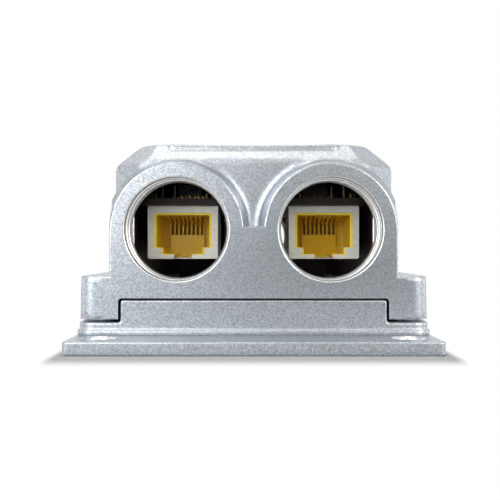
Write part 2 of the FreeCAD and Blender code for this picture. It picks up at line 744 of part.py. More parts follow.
def earth_screw():
    """The pan-head screw of the earth terminal on the rear face."""
    seat_y = inward(REAR, RECESS_DEPTH) + WASHER_THICKNESS + 2 * SEAT_GAP
    top_y = seat_y + HEAD_HEIGHT
    seat = vec(EARTH_SCREW_X, seat_y, EARTH_SCREW_Z)
    head = Part.makeCylinder(HEAD_RADIUS, HEAD_HEIGHT, seat, vec(0, 1, 0))
    head = head.makeFillet(EARTH_HEAD_ROUND, edges_where(head, lambda m, e: abs(m.y - top_y) < TOUCH))
    shank = Part.makeCylinder(SCREW_RADIUS, EARTH_SCREW_GRIP, seat, vec(0, -1, 0))
    arm = DRIVE_SLOT_LENGTH / 2
    half = DRIVE_SLOT_WIDTH / 2
    slot_low = (EARTH_SCREW_X - arm, top_y - HEX_DEPTH, EARTH_SCREW_Z - half)
    slot = box_between(slot_low, (EARTH_SCREW_X + arm, top_y + CLEAR, EARTH_SCREW_Z + half))
    cross = slot.copy()
    cross.rotate(seat, vec(0, 1, 0), 90)
    return head.fuse(shank).removeSplitter().cut([slot, cross])


def earth_washer():
    """The toothed washer under the earth screw."""
    start = vec(EARTH_SCREW_X, inward(REAR, RECESS_DEPTH) + SEAT_GAP, EARTH_SCREW_Z)
    ring = Part.makeCylinder(WASHER_RADIUS, WASHER_THICKNESS, start, vec(0, 1, 0))
    cutters = [Part.makeCylinder(TAPPED_RADIUS, WASHER_THICKNESS, start, vec(0, 1, 0))]
    for step in range(WASHER_TEETH):
        turn = step * 2 * math.pi / WASHER_TEETH
        offset = vec(WASHER_RADIUS * math.cos(turn), 0, WASHER_RADIUS * math.sin(turn))
        cutters.append(Part.makeCylinder(WASHER_NOTCH_RADIUS, WASHER_THICKNESS, start + offset, vec(0, 1, 0)))
    return ring.cut(cutters)


def jack_y(end, depth):
    """The y of a depth behind the mouth of a jack."""
    return inward(end, JACK_FACE_DEPTH + depth)


def contact_places(end, x):
    """The middle of each contact, with the depth of its tail."""
    places = []
    for step in range(CONTACT_COUNT):
        offset = (step - (CONTACT_COUNT - 1) / 2) * CONTACT_PITCH
        places.append((x + offset, TAIL_DEPTHS[step % len(TAIL_DEPTHS)]))
    return places


def peg_places(end, x):
    """Middles of the shield's two board pegs."""
    half = (JACK_WIDTH - SHEET) / 2
    return [(x + side * half, jack_y(end, PEG_DEPTH)) for side in (-1, 1)]


def main_board():
    """The circuit board that hangs from the roof posts."""
    half_x = BODY_HALF_WIDTH - WALL - BOARD_SIDE_GAP
    board = plan_slab(half_x, END_Y - BOARD_END_DEPTH, BOARD_CORNER, BOARD_BOTTOM_Z, BOARD_TOP_Z - SEAT_GAP)
    holes = []
    low = BOARD_BOTTOM_Z - CLEAR
    high = BOARD_TOP_Z + CLEAR
    for x, y in board_post_places():
        holes.append(upright(THROUGH_RADIUS, low, high, x, y))
    for end, x in PORTS.values():
        for pin_x, depth in contact_places(end, x):
            holes.append(upright(TAIL_HOLE_RADIUS, low, high, pin_x, jack_y(end, depth)))
        for peg_x, y in peg_places(end, x):
            holes.append(upright(PEG_HOLE_RADIUS, low, high, peg_x, y))
    return board.cut(holes)


def mouth_points(x, half, step_half, latch_half, top_z, height, step_height, low_z):
    """A stepped socket outline: the wide mouth, the step below it and the latch slot."""
    shelf = top_z - height
    step = shelf - step_height
    right = [
        (half, top_z), (half, shelf), (step_half, shelf),
        (step_half, step), (latch_half, step), (latch_half, low_z),
    ]
    left = [(-px, pz) for px, pz in reversed(right)]
    return [(x + px, pz) for px, pz in right + left]


def shield(end, x):
    """The folded steel shield of a jack, open towards the board."""
    half = JACK_WIDTH / 2
    low = (x - half, jack_y(end, 0), JACK_BOTTOM_Z)
    outer = box_between(low, (x + half, jack_y(end, JACK_LENGTH), JACK_TOP_Z))
    middle_y = jack_y(end, JACK_LENGTH / 2)

    def is_fold(middle, edge):
        return abs(middle.z - JACK_BOTTOM_Z) < TOUCH and abs(middle.y - middle_y) < TOUCH

    outer = outer.makeFillet(2 * SHEET, edges_where(outer, is_fold))
    inside = box_between(
        (x - half + SHEET, jack_y(end, SHEET), JACK_BOTTOM_Z + SHEET),
        (x + half - SHEET, jack_y(end, JACK_LENGTH - SHEET), JACK_TOP_Z + CLEAR),
    )
    points = mouth_points(
        x, MOUTH_HALF_WIDTH, MOUTH_STEP_HALF_WIDTH, LATCH_HALF_WIDTH,
        JACK_TOP_Z - MOUTH_TOP_WALL, MOUTH_HEIGHT, MOUTH_STEP_HEIGHT, JACK_BOTTOM_Z - CLEAR,
    )
    mouth = across(points, [0] * len(points), jack_y(end, -CLEAR), jack_y(end, 2 * SHEET))
    notch = box_between(
        (x - LATCH_HALF_WIDTH, jack_y(end, -CLEAR), JACK_BOTTOM_Z - CLEAR),
        (x + LATCH_HALF_WIDTH, jack_y(end, LATCH_NOTCH_LENGTH), JACK_BOTTOM_Z + 2 * SHEET),
    )
    sheet = outer.cut([inside, mouth, notch])
    pegs = []
    for peg_x, y in peg_places(end, x):
        low = (peg_x - SHEET / 2, y - PEG_WIDTH / 2, JACK_TOP_Z - CLEAR)
        pegs.append(box_between(low, (peg_x + SHEET / 2, y + PEG_WIDTH / 2, BOARD_TOP_Z + TAIL_HEIGHT)))
    return sheet.fuse(pegs).removeSplitter()


def insert_box(end, x):
    """The outer block of the moulded insert."""
    half = JACK_WIDTH / 2 - SHEET - INSERT_GAP
    low = JACK_BOTTOM_Z + SHEET + INSERT_GAP
    near = jack_y(end, SHEET + INSERT_GAP)
    far = jack_y(end, JACK_LENGTH - SHEET - INSERT_GAP)
    return box_between((x - half, near, low), (x + half, far, JACK_TOP_Z - INSERT_GAP))


def contact_slots(end, x, socket_top):
    """Slots in the roof of the insert for the contact runs, and the comb at the back of the socket."""
    half = CONTACT_SLOT_WIDTH / 2
    run_z = JACK_TOP_Z - CONTACT_RUN_WALL - CONTACT_THICKNESS
    cuts = []
    for pin_x, depth in contact_places(end, x):
        mouth_y = jack_y(end, CONTACT_BEND_DEPTH - CONTACT_THICKNESS)
        bend_low = (pin_x - half, mouth_y, socket_top - CLEAR)
        bend_high = (pin_x + half, jack_y(end, CONTACT_TIP_DEPTH / 2), JACK_TOP_Z)
        run_high = (pin_x + half, jack_y(end, depth + CONTACT_THICKNESS), JACK_TOP_Z)
        comb_low = (pin_x - half, jack_y(end, SOCKET_DEPTH - CLEAR), socket_top - COMB_HEIGHT)
        comb_high = (pin_x + half, jack_y(end, SOCKET_DEPTH + COMB_DEPTH), socket_top)
        cuts.append(box_between(bend_low, bend_high))
        cuts.append(box_between((pin_x - half, mouth_y, run_z), run_high))
        cuts.append(box_between(comb_low, comb_high))
    return cuts


def insert(end, x):
    """The moulded insert with its stepped socket, the panel at its back, contact slots and comb."""
    socket_top = JACK_TOP_Z - SOCKET_TOP_WALL
    latch_floor = JACK_BOTTOM_Z + 2 * SHEET + INSERT_GAP
    points = mouth_points(
        x, SOCKET_HALF_WIDTH, SOCKET_STEP_HALF_WIDTH, SOCKET_LATCH_HALF_WIDTH,
        socket_top, SOCKET_HEIGHT, SOCKET_STEP_HEIGHT, latch_floor,
    )
    socket = across(points, [0] * len(points), jack_y(end, -CLEAR), jack_y(end, SOCKET_DEPTH))
    latch = box_between(
        (x - SOCKET_LATCH_HALF_WIDTH, jack_y(end, -CLEAR), JACK_BOTTOM_Z),
        (x + SOCKET_LATCH_HALF_WIDTH, jack_y(end, LATCH_SLOT_LENGTH), latch_floor + CLEAR),
    )
    channels = [
        box_between(
            (x + side * PANEL_HALF_WIDTH, jack_y(end, SOCKET_DEPTH - CLEAR), socket_top - SOCKET_HEIGHT),
            (x + side * SOCKET_HALF_WIDTH, jack_y(end, SOCKET_DEPTH + PANEL_RISE), socket_top),
        )
        for side in (-1, 1)
    ]
    cuts = [socket, latch] + channels + contact_slots(end, x, socket_top)
    return insert_box(end, x).cut(cuts).removeSplitter()


def strip_outline(points, thickness):
    """Corner points of a bent strip of even thickness that follows a line."""
    left = []
    right = []
    for i, point in enumerate(points):
        before = (point - points[i - 1]).normalize() if i else (points[1] - point).normalize()
        after = (points[i + 1] - point).normalize() if i < len(points) - 1 else before
        bisector = (before + after).normalize()
        normal = vec(0, -bisector.z, bisector.y)
        reach = thickness / 2 / abs(bisector.dot(before))
        left.append(point + normal * reach)
        right.append(point - normal * reach)
    return left + right[::-1]


def contact(end, pin_x, tail_depth):
    """One spring contact: the tail, the run along the roof of the insert, the bend and the sloping finger."""
    run_z = JACK_TOP_Z - CONTACT_RUN_WALL
    start_x = pin_x - CONTACT_WIDTH / 2
    route = [
        (tail_depth, BOARD_TOP_Z + TAIL_HEIGHT),
        (tail_depth, run_z),
        (CONTACT_BEND_DEPTH + CONTACT_THICKNESS, run_z),
        (CONTACT_BEND_DEPTH, run_z - 2 * CONTACT_THICKNESS),
        (CONTACT_BEND_DEPTH + 2 * CONTACT_THICKNESS, JACK_TOP_Z - SOCKET_TOP_WALL),
        (CONTACT_TIP_DEPTH, JACK_TOP_Z - CONTACT_TIP_WALL),
    ]
    line = [vec(start_x, jack_y(end, depth), z) for depth, z in route]
    outline = strip_outline(line, CONTACT_THICKNESS)
    return Part.Face(Part.makePolygon(outline + [outline[0]])).extrude(vec(CONTACT_WIDTH, 0, 0))


def contacts(end, x):
    return Part.makeCompound([contact(end, pin_x, depth) for pin_x, depth in contact_places(end, x)])


def hung_block(size, x, y):
    """A block that hangs just under the board."""
    width, length, height = size
    top = BOARD_BOTTOM_Z - SEAT_GAP
    return box_between((x - width / 2, y - length / 2, top - height), (x + width / 2, y + length / 2, top))


def standing_block(size, x, y):
    """A block that stands on the board."""
    width, length, height = size
    low = BOARD_TOP_Z
    return box_between((x - width / 2, y - length / 2, low), (x + width / 2, y + length / 2, low + height))


def chamfered(block):
    """A moulded block with its lower edges bevelled."""
    z = block.BoundBox.ZMin
    return block.makeChamfer(MOULD_BEVEL, edges_where(block, lambda m, e: abs(m.z - z) < TOUCH))


def jack_back_y(end):
    return jack_y(end, JACK_LENGTH)


def port_transformers():
    """The signal transformer behind each jack."""
    blocks = []
    for end, x in PORTS.values():
        y = jack_back_y(end) - end * (PART_SPACING + PORT_TRANSFORMER[1] / 2)
        blocks.append(chamfered(hung_block(PORT_TRANSFORMER, x, y)))
    return Part.makeCompound(blocks)


def middle_row_y():
    """The row of small parts between the front and the rear groups."""
    return jack_back_y(FRONT) + 2 * PART_SPACING + PORT_TRANSFORMER[1] + TRANSISTOR[1] / 2


def power_transformer_y():
    return middle_row_y() + TRANSISTOR[1] / 2 + 2 * PART_SPACING + CORE[1] / 2 + MIDDLE_HEAD_SPACING


def transformer_middle_z():
    return BOARD_BOTTOM_Z - SEAT_GAP - WINDING_HEIGHT / 2


def middle_block(size, x, y, z):
    """A block about its own middle."""
    half = [length / 2 for length in size]
    return box_between((x - half[0], y - half[1], z - half[2]), (x + half[0], y + half[1], z + half[2]))


def power_transformer_core():
    """The ferrite core with its two winding windows."""
    width, length, height = CORE
    y = power_transformer_y()
    z = transformer_middle_z()
    core = middle_block((width, length, height), -CORE_X, y, z)
    inner = CORE_POST_WIDTH / 2
    for side in (-1, 1):
        low = (-CORE_X + side * inner, y - length / 2 + CORE_YOKE, z - height)
        high = (-CORE_X + side * (inner + CORE_WINDOW_WIDTH), y + length / 2 - CORE_YOKE, z + height)
        core = core.cut(box_between(low, high))
    return core


def power_transformer_winding():
    """The wound bobbin round the middle post of the core."""
    y = power_transformer_y()
    z = transformer_middle_z()
    width = CORE_POST_WIDTH + 2 * (CORE_WINDOW_WIDTH - WINDING_GAP)
    length = CORE[1] - 2 * (CORE_YOKE + WINDING_GAP)
    winding = middle_block((width, length, WINDING_HEIGHT), -CORE_X, y, z)
    corners = edges_where(winding, lambda m, e: abs(m.y - y) < TOUCH)
    winding = winding.makeFillet(WINDING_ROUND, corners)
    hole = (CORE_POST_WIDTH + 2 * WINDING_GAP, CORE[1], CORE[2] + 2 * WINDING_GAP)
    return winding.cut(middle_block(hole, -CORE_X, y, z))


def choke_y():
    return middle_row_y() + TRANSISTOR[1] / 2 + PART_SPACING + MIDDLE_HEAD_SPACING + CHOKE_RADIUS


def choke_core():
    """The ferrite drum of the filter choke."""
    top = BOARD_BOTTOM_Z - SEAT_GAP
    y = choke_y()
    drum = upright(CHOKE_HUB_RADIUS, top - CHOKE_HEIGHT, top, CHOKE_X, y)
    upper = upright(CHOKE_RADIUS, top - CHOKE_FLANGE, top, CHOKE_X, y)
    lower = upright(CHOKE_RADIUS, top - CHOKE_HEIGHT, top - CHOKE_HEIGHT + CHOKE_FLANGE, CHOKE_X, y)
    return drum.fuse([upper, lower]).removeSplitter()


def choke_winding():
    """The copper winding between the flanges of the choke."""
    top = BOARD_BOTTOM_Z - SEAT_GAP - CHOKE_FLANGE - SEAT_GAP
    low = BOARD_BOTTOM_Z - SEAT_GAP - CHOKE_HEIGHT + CHOKE_FLANGE + SEAT_GAP
    coil = upright(CHOKE_RADIUS - COIL_SET_BACK, low, top, CHOKE_X, choke_y())
    return coil.cut(upright(CHOKE_HUB_RADIUS + SEAT_GAP, low - CLEAR, top + CLEAR, CHOKE_X, choke_y()))


def bulk_capacitors():
    """Electrolytic capacitors with the rolled neck of their cans."""
    outer_y = choke_y() + CHOKE_RADIUS + PART_SPACING / 2 + CAPACITOR_RADIUS
    inner_y = jack_back_y(REAR) + PART_SPACING + 2 * CAPACITOR_RADIUS + CAPACITOR_RADIUS
    cans = []
    top = BOARD_BOTTOM_Z - SEAT_GAP
    low = top - CAPACITOR_HEIGHT
    neck_radius = CAPACITOR_RADIUS + CAPACITOR_NECK / 2
    for x, y in ((OUTER_CAPACITOR_X, outer_y), (-INNER_CAPACITOR_X, inner_y)):
        can = upright(CAPACITOR_RADIUS, low, top, x, y)
        can = can.makeFillet(CAPACITOR_NECK, edges_where(can, lambda m, e: abs(m.z - low) < TOUCH))
        neck = Part.makeTorus(neck_radius, CAPACITOR_NECK, vec(x, y, top - CAPACITOR_NECK_DROP))
        cans.append(can.cut(neck))
    return Part.makeCompound(cans)


def rectifier_bridges():
    """Two bridge rectifiers between the front jacks."""
    y = jack_back_y(FRONT) - BRIDGE[1] / 2
    sides = (-BRIDGE_SPACING / 2, BRIDGE_SPACING / 2)
    return Part.makeCompound([chamfered(hung_block(BRIDGE, x, y)) for x in sides])


def switch_chip_y():
    return jack_back_y(FRONT) + 2 * PART_SPACING + CRYSTAL[1] + SWITCH_CHIP[1] / 2


def switch_chip():
    """The network switch chip, bevelled below."""
    return chamfered(hung_block(SWITCH_CHIP, 0, switch_chip_y()))


def clock_crystal():
    y = jack_back_y(FRONT) + PART_SPACING + CRYSTAL[1] / 2
    block = hung_block(CRYSTAL, 0, y)
    middle_z = block.BoundBox.Center.z
    return block.makeFillet(CRYSTAL_ROUND, edges_where(block, lambda m, e: abs(m.z - middle_z) < TOUCH))


def power_transistors():
    """Flat power transistors of the supply switches."""
    y = middle_row_y()
    blocks = [hung_block(TRANSISTOR, MIDDLE_ROW_X, y)]
    rear_y = inward(REAR, REAR_POST_DEPTH) - HEAD_RADIUS - PART_SPACING / 2 - TRANSISTOR[1] / 2
    blocks.append(hung_block(TRANSISTOR, -REAR_POST_X - PART_SPACING, rear_y))
    return Part.makeCompound([chamfered(block) for block in blocks])


def sense_resistor():
    return hung_block(RESISTOR, -MIDDLE_ROW_X, middle_row_y())


def supply_controllers():
    """Power supply controllers on the upper side of the board."""
    blocks = [standing_block(CONTROLLER, side * CONTROLLER_X, choke_y()) for side in (-1, 1)]
    return Part.makeCompound(blocks)


def device_controller():
    return standing_block(CONTROLLER, 0, switch_chip_y())


def surge_arresters():
    """A gas discharge tube over the cable side of each port."""
    tubes = []
    for end, x in PORTS.values():
        y = jack_back_y(end) - end * (PART_SPACING + PORT_TRANSFORMER[1] / 2)
        start = vec(x - ARRESTER_LENGTH / 2, y, BOARD_TOP_Z + ARRESTER_RADIUS)
        tube = Part.makeCylinder(ARRESTER_RADIUS, ARRESTER_LENGTH, start, vec(1, 0, 0))
        rims = edges_where(tube, lambda m, e: abs(abs(m.x - x) - ARRESTER_LENGTH / 2) < TOUCH)
        tubes.append(tube.makeFillet(ARRESTER_ROUND, rims))
    return Part.makeCompound(tubes)


def status_lamps():
    return Part.makeCompound([standing_block(LAMP, x, y) for x, y in lamp_places()])


def light_guides():
    """Clear plugs through the roof, flush outside, each with a flange against the inside."""
    guides = []
    low = BOARD_TOP_Z + LAMP[2] + LAMP_AIR_GAP
    flange_top = ROOF_Z - SEAT_GAP
    for x, y in lamp_places():
        plug = upright(GUIDE_RADIUS, low, HOUSING_TOP_Z - TOP_DISH, x, y)
        flange = upright(GUIDE_FLANGE_RADIUS, flange_top - GUIDE_FLANGE, flange_top, x, y)
        guides.append(plug.fuse(flange).removeSplitter())
    return Part.makeCompound(guides)


def pieces():
    """Every separate piece, by the name of its node."""
    made = {
        "housing": housing(),
        "base_cover": base_cover(),
        "mount_plate": mount_plate(),
        "seal_cord": seal_cord(),
        "cover_screws": cover_screws(),
        "plate_screws": plate_screws(),
        "board_screws": board_screws(),
        "earth_screw": earth_screw(),
        "earth_washer": earth_washer(),
        "main_board": main_board(),
        "port_transformers": port_transformers(),
        "power_transformer_core": power_transformer_core(),
        "power_transformer_winding": power_transformer_winding(),
        "choke_core": choke_core(),
        "choke_winding": choke_winding(),
        "bulk_capacitors": bulk_capacitors(),
        "rectifier_bridges": rectifier_bridges(),
        "switch_chip": switch_chip(),
        "clock_crystal": clock_crystal(),
        "power_transistors": power_transistors(),
        "sense_resistor": sense_resistor(),
        "supply_controllers": supply_controllers(),
        "device_controller": device_controller(),
        "surge_arresters": surge_arresters(),
        "status_lamps": status_lamps(),
        "light_guides": light_guides(),
    }
    for name, (end, x) in PORTS.items():
        made[name + "_shield"] = shield(end, x)
        made[name + "_insert"] = insert(end, x)
        made[name + "_contacts"] = contacts(end, x)
    return made


def main():
    os.makedirs("parts", exist_ok=True)
    for name, shape in pieces().items():
        shape.exportStep(f"parts/{name}.step")


main()
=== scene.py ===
import json
import logging
import math
from dataclasses import dataclass
from enum import Enum
from functools import cache

import bpy
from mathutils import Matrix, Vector

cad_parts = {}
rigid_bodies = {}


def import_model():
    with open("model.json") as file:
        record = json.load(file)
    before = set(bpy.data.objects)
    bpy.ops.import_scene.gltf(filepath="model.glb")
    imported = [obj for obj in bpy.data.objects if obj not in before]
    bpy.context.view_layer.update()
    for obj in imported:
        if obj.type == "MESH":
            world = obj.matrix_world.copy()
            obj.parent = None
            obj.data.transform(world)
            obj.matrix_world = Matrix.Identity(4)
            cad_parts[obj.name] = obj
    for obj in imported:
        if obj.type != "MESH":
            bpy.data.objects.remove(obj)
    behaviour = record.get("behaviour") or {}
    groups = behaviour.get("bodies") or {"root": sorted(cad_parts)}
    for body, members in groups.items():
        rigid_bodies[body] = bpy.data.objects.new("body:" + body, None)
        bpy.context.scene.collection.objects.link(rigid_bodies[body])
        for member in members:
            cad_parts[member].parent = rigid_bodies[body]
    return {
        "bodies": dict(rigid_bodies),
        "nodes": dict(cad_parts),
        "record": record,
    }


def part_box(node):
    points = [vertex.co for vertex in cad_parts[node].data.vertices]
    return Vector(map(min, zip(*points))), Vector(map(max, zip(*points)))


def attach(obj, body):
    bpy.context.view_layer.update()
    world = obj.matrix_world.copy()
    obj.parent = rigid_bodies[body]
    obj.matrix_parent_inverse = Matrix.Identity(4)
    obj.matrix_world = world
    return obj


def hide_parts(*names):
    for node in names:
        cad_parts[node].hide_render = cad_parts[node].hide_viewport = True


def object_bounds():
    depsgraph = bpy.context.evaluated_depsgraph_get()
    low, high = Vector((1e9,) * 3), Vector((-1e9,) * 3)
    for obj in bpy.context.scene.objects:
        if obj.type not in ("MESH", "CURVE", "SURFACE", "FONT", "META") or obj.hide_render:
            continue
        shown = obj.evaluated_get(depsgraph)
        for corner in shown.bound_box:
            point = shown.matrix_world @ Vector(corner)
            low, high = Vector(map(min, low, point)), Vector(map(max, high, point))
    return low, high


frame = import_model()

for leftover in set(bpy.data.objects) - set(frame["nodes"].values()) - set(frame["bodies"].values()):
    bpy.data.objects.remove(leftover)
CAD_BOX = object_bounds()

LOG = logging.getLogger("poe_extender")
MM = 0.001
BODY = "root"
PORT_NAMES = ("out_port_1", "out_port_2", "in_port")
MOUNTS = {mount["name"]: mount for mount in frame["record"]["mounts"]}
Colour = tuple[float, float, float]
Point = tuple[float, float, float]
Socket = bpy.types.NodeSocket
Tree = bpy.types.NodeTree


class Slot(Enum):
    """The record's material slots; each new pattern names one, but its material comes from its finish."""

    CAST = "cast_paint"
    SHIELD = "tinned_shield"
    CONTACT = "contact_plating"
    COPPER = "copper_wire"


# Node trees

class Sheet:
    """A node tree that is being laid out, with short calls that add and join its nodes."""

    def __init__(self, tree: Tree) -> None:
        """Take the tree to fill."""
        self.tree = tree

    def add(self, kind: str, inputs: dict[str | int, object] | None = None,
            **settings: object) -> bpy.types.Node:
        """Add a node, set its properties and fill its inputs.

        Args:
            kind: The node's type name.
            inputs: A value or a socket for each input, by name or by index.
            **settings: Properties of the node, such as an operation.

        Returns:
            The new node.
        """
        node = self.tree.nodes.new(kind)
        for name, value in settings.items():
            setattr(node, name, value)
        for key, value in (inputs or {}).items():
            if isinstance(value, Socket):
                self.tree.links.new(value, node.inputs[key])
            else:
                node.inputs[key].default_value = value
        return node

    def link(self, source: Socket, target: Socket) -> None:
        """Join two sockets."""
        self.tree.links.new(source, target)

    def math(self, operation: str, *values: object) -> Socket:
        """Add a maths node.

        Args:
            operation: The maths node's operation.
            *values: A number or a socket for each operand.

        Returns:
            The result's socket.
        """
        return self.add("ShaderNodeMath", dict(enumerate(values)), operation=operation).outputs[0]

    def vector(self, operation: str, *values: object) -> bpy.types.Node:
        """Add a vector maths node.

        Args:
            operation: The vector maths node's operation.
            *values: A vector or a socket for each operand.

        Returns:
            The node, whose first output is a vector and whose second is a number.
        """
        return self.add("ShaderNodeVectorMath", dict(enumerate(values)), operation=operation)

    def blend(self, factor: object, low: object, high: object) -> Socket:
        """Mix two colours.

        Args:
            factor: The share of the second colour, as a number or a socket.
            low: The first colour or its socket.
            high: The second colour or its socket.

        Returns:
            The mixed colour's socket.
        """
        inputs = {0: factor, 6: rgba(low), 7: rgba(high)}
        return self.add("ShaderNodeMix", inputs, data_type="RGBA").outputs[2]

    def lerp(self, factor: object, low: object, high: object) -> Socket:
        """Mix two numbers.

        Args:
            factor: The share of the second number, as a number or a socket.
            low: The first number or its socket.
            high: The second number or its socket.

        Returns:
            The mixed number's socket.
        """
        return self.add("ShaderNodeMix", {0: factor, 2: low, 3: high}, data_type="FLOAT").outputs[0]

    def both(self, *masks: object) -> Socket:
        """Multiply masks, so that the result is on only where they all are.

        Args:
            *masks: The masks' sockets.

        Returns:
            The common mask's socket.
        """
        result = masks[0]
        for mask in masks[1:]:
            result = self.math("MULTIPLY", result, mask)
        return result


def rgba(colour: object) -> object:
    """Add a full alpha to a plain colour, and leave a socket as it is."""
    return (*colour, 1.0) if isinstance(colour, tuple) else colour


def new_group(name: str, kind: str, inputs: dict[str, object], outputs: tuple[str, ...]
              ) -> tuple[Sheet, bpy.types.Node, bpy.types.Node]:
    """Start a node group with named sockets.

    Args:
        name: The group's name.
        kind: The tree's type name.
        inputs: Each input's default by its name; the default's type sets the socket's.
        outputs: The outputs' names; Normal and Geometry set their own types, and the rest are numbers.

    Returns:
        The group's sheet, its input node and its output node.
    """
    tree = bpy.data.node_groups.new(name, kind)
    kinds = {float: "NodeSocketFloat", int: "NodeSocketInt", tuple: "NodeSocketVector",
             str: "NodeSocketMaterial", type(None): "NodeSocketGeometry"}
    for label, default in inputs.items():
        socket = tree.interface.new_socket(name=label, in_out="INPUT", socket_type=kinds[type(default)])
        if isinstance(default, (float, int, tuple)):
            socket.default_value = default
    typed = {"Normal": "NodeSocketVector", "Geometry": "NodeSocketGeometry"}
    for label in outputs:
        tree.interface.new_socket(name=label, in_out="OUTPUT",
                                  socket_type=typed.get(label, "NodeSocketFloat"))
    sheet = Sheet(tree)
    return sheet, sheet.add("NodeGroupInput"), sheet.add("NodeGroupOutput")


class Surface(Sheet):
    """The sheet of a new material, with the position on its object."""

    def __init__(self, name: str) -> None:
        """Start an empty material."""
        self.material = bpy.data.materials.new(name)
        self.material.use_nodes = True
        super().__init__(self.material.node_tree)
        self.tree.nodes.clear()
        self.place = self.add("ShaderNodeTexCoord").outputs["Object"]

    def show(self, shader: Socket) -> None:
        """Let the material show a shader."""
        self.add("ShaderNodeOutputMaterial", {0: shader})

    def effect(self, group: Tree, **inputs: object) -> bpy.types.Node:
        """Place a shared effect, which reads the position on the object if it is given no other.

        Args:
            group: The shared node group.
            **inputs: A value or a socket for each named input.

        Returns:
            The group's node.
        """
        node = self.add("ShaderNodeGroup", inputs, node_tree=group)
        if "Position" in node.inputs and "Position" not in inputs:
            self.link(self.place, node.inputs["Position"])
        return node

    def split_place(self) -> tuple[Socket, Socket, Socket]:
        """Give the three parts of the position on the object."""
        return tuple(self.add("ShaderNodeSeparateXYZ", {0: self.place}).outputs)


# Shader effects that several finishes share

def new_effect(name: str, inputs: dict[str, object], outputs: tuple[str, ...]
               ) -> tuple[Sheet, bpy.types.Node, bpy.types.Node]:
    """Start the node group of an effect that reads a position, as new_group does."""
    return new_group(name, "ShaderNodeTree", {"Position": (0.0, 0.0, 0.0), **inputs}, outputs)


MID_TONE = 0.5
# A noise mask swings little round its middle, so a finish's contrast counts this many times.
NOISE_GAIN = 4.0


@cache
def speckle_group() -> Tree:
    """Build the fine speckle of metal flake, moulded grain and sintered powder.

    Returns:
        The node group, with a mask about one half and a height.
    """
    sheet, start, end = new_effect("fine_speckle", {"Grain": 3000.0, "Contrast": 1.0, "Flake Share": 0.3},
                                   ("Mask", "Height"))
    place, grain, contrast, flake_share = start.outputs[:4]
    soft = sheet.add("ShaderNodeTexNoise", {"Vector": place, "Scale": grain, "Detail": 3.0, "Roughness": 0.7})
    cells = sheet.add("ShaderNodeTexVoronoi", {"Vector": place, "Scale": grain})
    flake = sheet.add("ShaderNodeSeparateColor", {0: cells.outputs["Color"]}).outputs[0]
    mixed = sheet.lerp(flake_share, soft.outputs[0], flake)
    swing = sheet.math("MULTIPLY", sheet.math("SUBTRACT", mixed, MID_TONE), contrast)
    sheet.link(sheet.math("ADD", swing, MID_TONE), end.inputs["Mask"])
    sheet.link(soft.outputs[0], end.inputs["Height"])
    return sheet.tree


@cache
def edge_group() -> Tree:
    """Build the softened edges that paint and moulded plastic have, and the mask where a highlight is painted
    along them, broken up like wear.

    Returns:
        The node group, with the softened normal and the edge mask.
    """
    sheet, start, end = new_effect("soft_edges", {"Radius": 0.0003, "Breakup": 900.0, "Gain": 6.0},
                                   ("Mask", "Normal"))
    place, radius, breakup, gain = start.outputs[:4]
    rounded = sheet.add("ShaderNodeBevel", {"Radius": radius}, samples=8).outputs[0]
    plain = sheet.add("ShaderNodeNewGeometry").outputs["Normal"]
    turn = sheet.math("SUBTRACT", 1.0, sheet.vector("DOT_PRODUCT", rounded, plain).outputs[1])
    noise = sheet.add("ShaderNodeTexNoise", {"Vector": place, "Scale": breakup, "Detail": 4.0}).outputs[0]
    # Painted highlight on rounded edges, broken up by noise like wear.
    highlight_and_wear = sheet.math("MULTIPLY", sheet.math("MULTIPLY", turn, gain), noise)
    sheet.link(sheet.math("MINIMUM", highlight_and_wear, 1.0), end.inputs["Mask"])
    sheet.link(rounded, end.inputs["Normal"])
    return sheet.tree


@cache
def dust_group() -> Tree:
    """Build the thin dust that settles on faces that look up.

    Returns:
        The node group, with the dust mask.
    """
    sheet, start, end = new_effect("settled_dust", {"Amount": 0.05, "Patch": 120.0}, ("Mask",))
    place, amount, patch = start.outputs[:3]
    normal = sheet.add("ShaderNodeNewGeometry").outputs["Normal"]
    up = sheet.math("MAXIMUM", sheet.add("ShaderNodeSeparateXYZ", {0: normal}).outputs[2], 0.0)
    noise = sheet.add("ShaderNodeTexNoise", {"Vector": place, "Scale": patch, "Detail": 6.0}).outputs[0]
    sheet.link(sheet.both(up, noise, amount), end.inputs["Mask"])
    return sheet.tree


@cache
def streak_group() -> Tree:
    """Build the drawn or turned streaks of bare metal.

    Returns:
        The node group, with the streak mask.
    """
    sheet, start, end = new_effect("metal_streaks", {"Stretch": (1.0, 1.0, 1.0), "Grain": 3000.0}, ("Mask",))
    place, stretch, grain = start.outputs[:3]
    drawn = sheet.vector("MULTIPLY", place, stretch).outputs[0]
    noise = sheet.add("ShaderNodeTexNoise", {"Vector": drawn, "Scale": grain, "Detail": 5.0}).outputs[0]
    sheet.link(noise, end.inputs["Mask"])
    return sheet.tree


@cache
def cloud_group() -> Tree:
    """Build the faint clouds in the depth of a metallic paint.

    Returns:
        The node group, with the cloud mask.
    """
    sheet, start, end = new_effect("paint_clouds", {"Patch": 60.0}, ("Mask",))
    place, patch = start.outputs[:2]
    noise = sheet.add("ShaderNodeTexNoise", {"Vector": place, "Scale": patch, "Detail": 3.0}).outputs[0]
    sheet.link(noise, end.inputs["Mask"])
    return sheet.tree


@cache
def plane_group() -> Tree:
    """Build the mask of the space on the near side of one plane.

    Returns:
        The node group, with the mask.
    """
    sheet, start, end = new_effect("near_side_of_plane", {"Direction": (0.0, 0.0, 1.0), "Reach": 0.0},
                                   ("Mask",))
    place, direction, reach = start.outputs[:3]
    along = sheet.vector("DOT_PRODUCT", place, direction).outputs[1]
    sheet.link(sheet.math("LESS_THAN", along, reach), end.inputs["Mask"])
    return sheet.tree


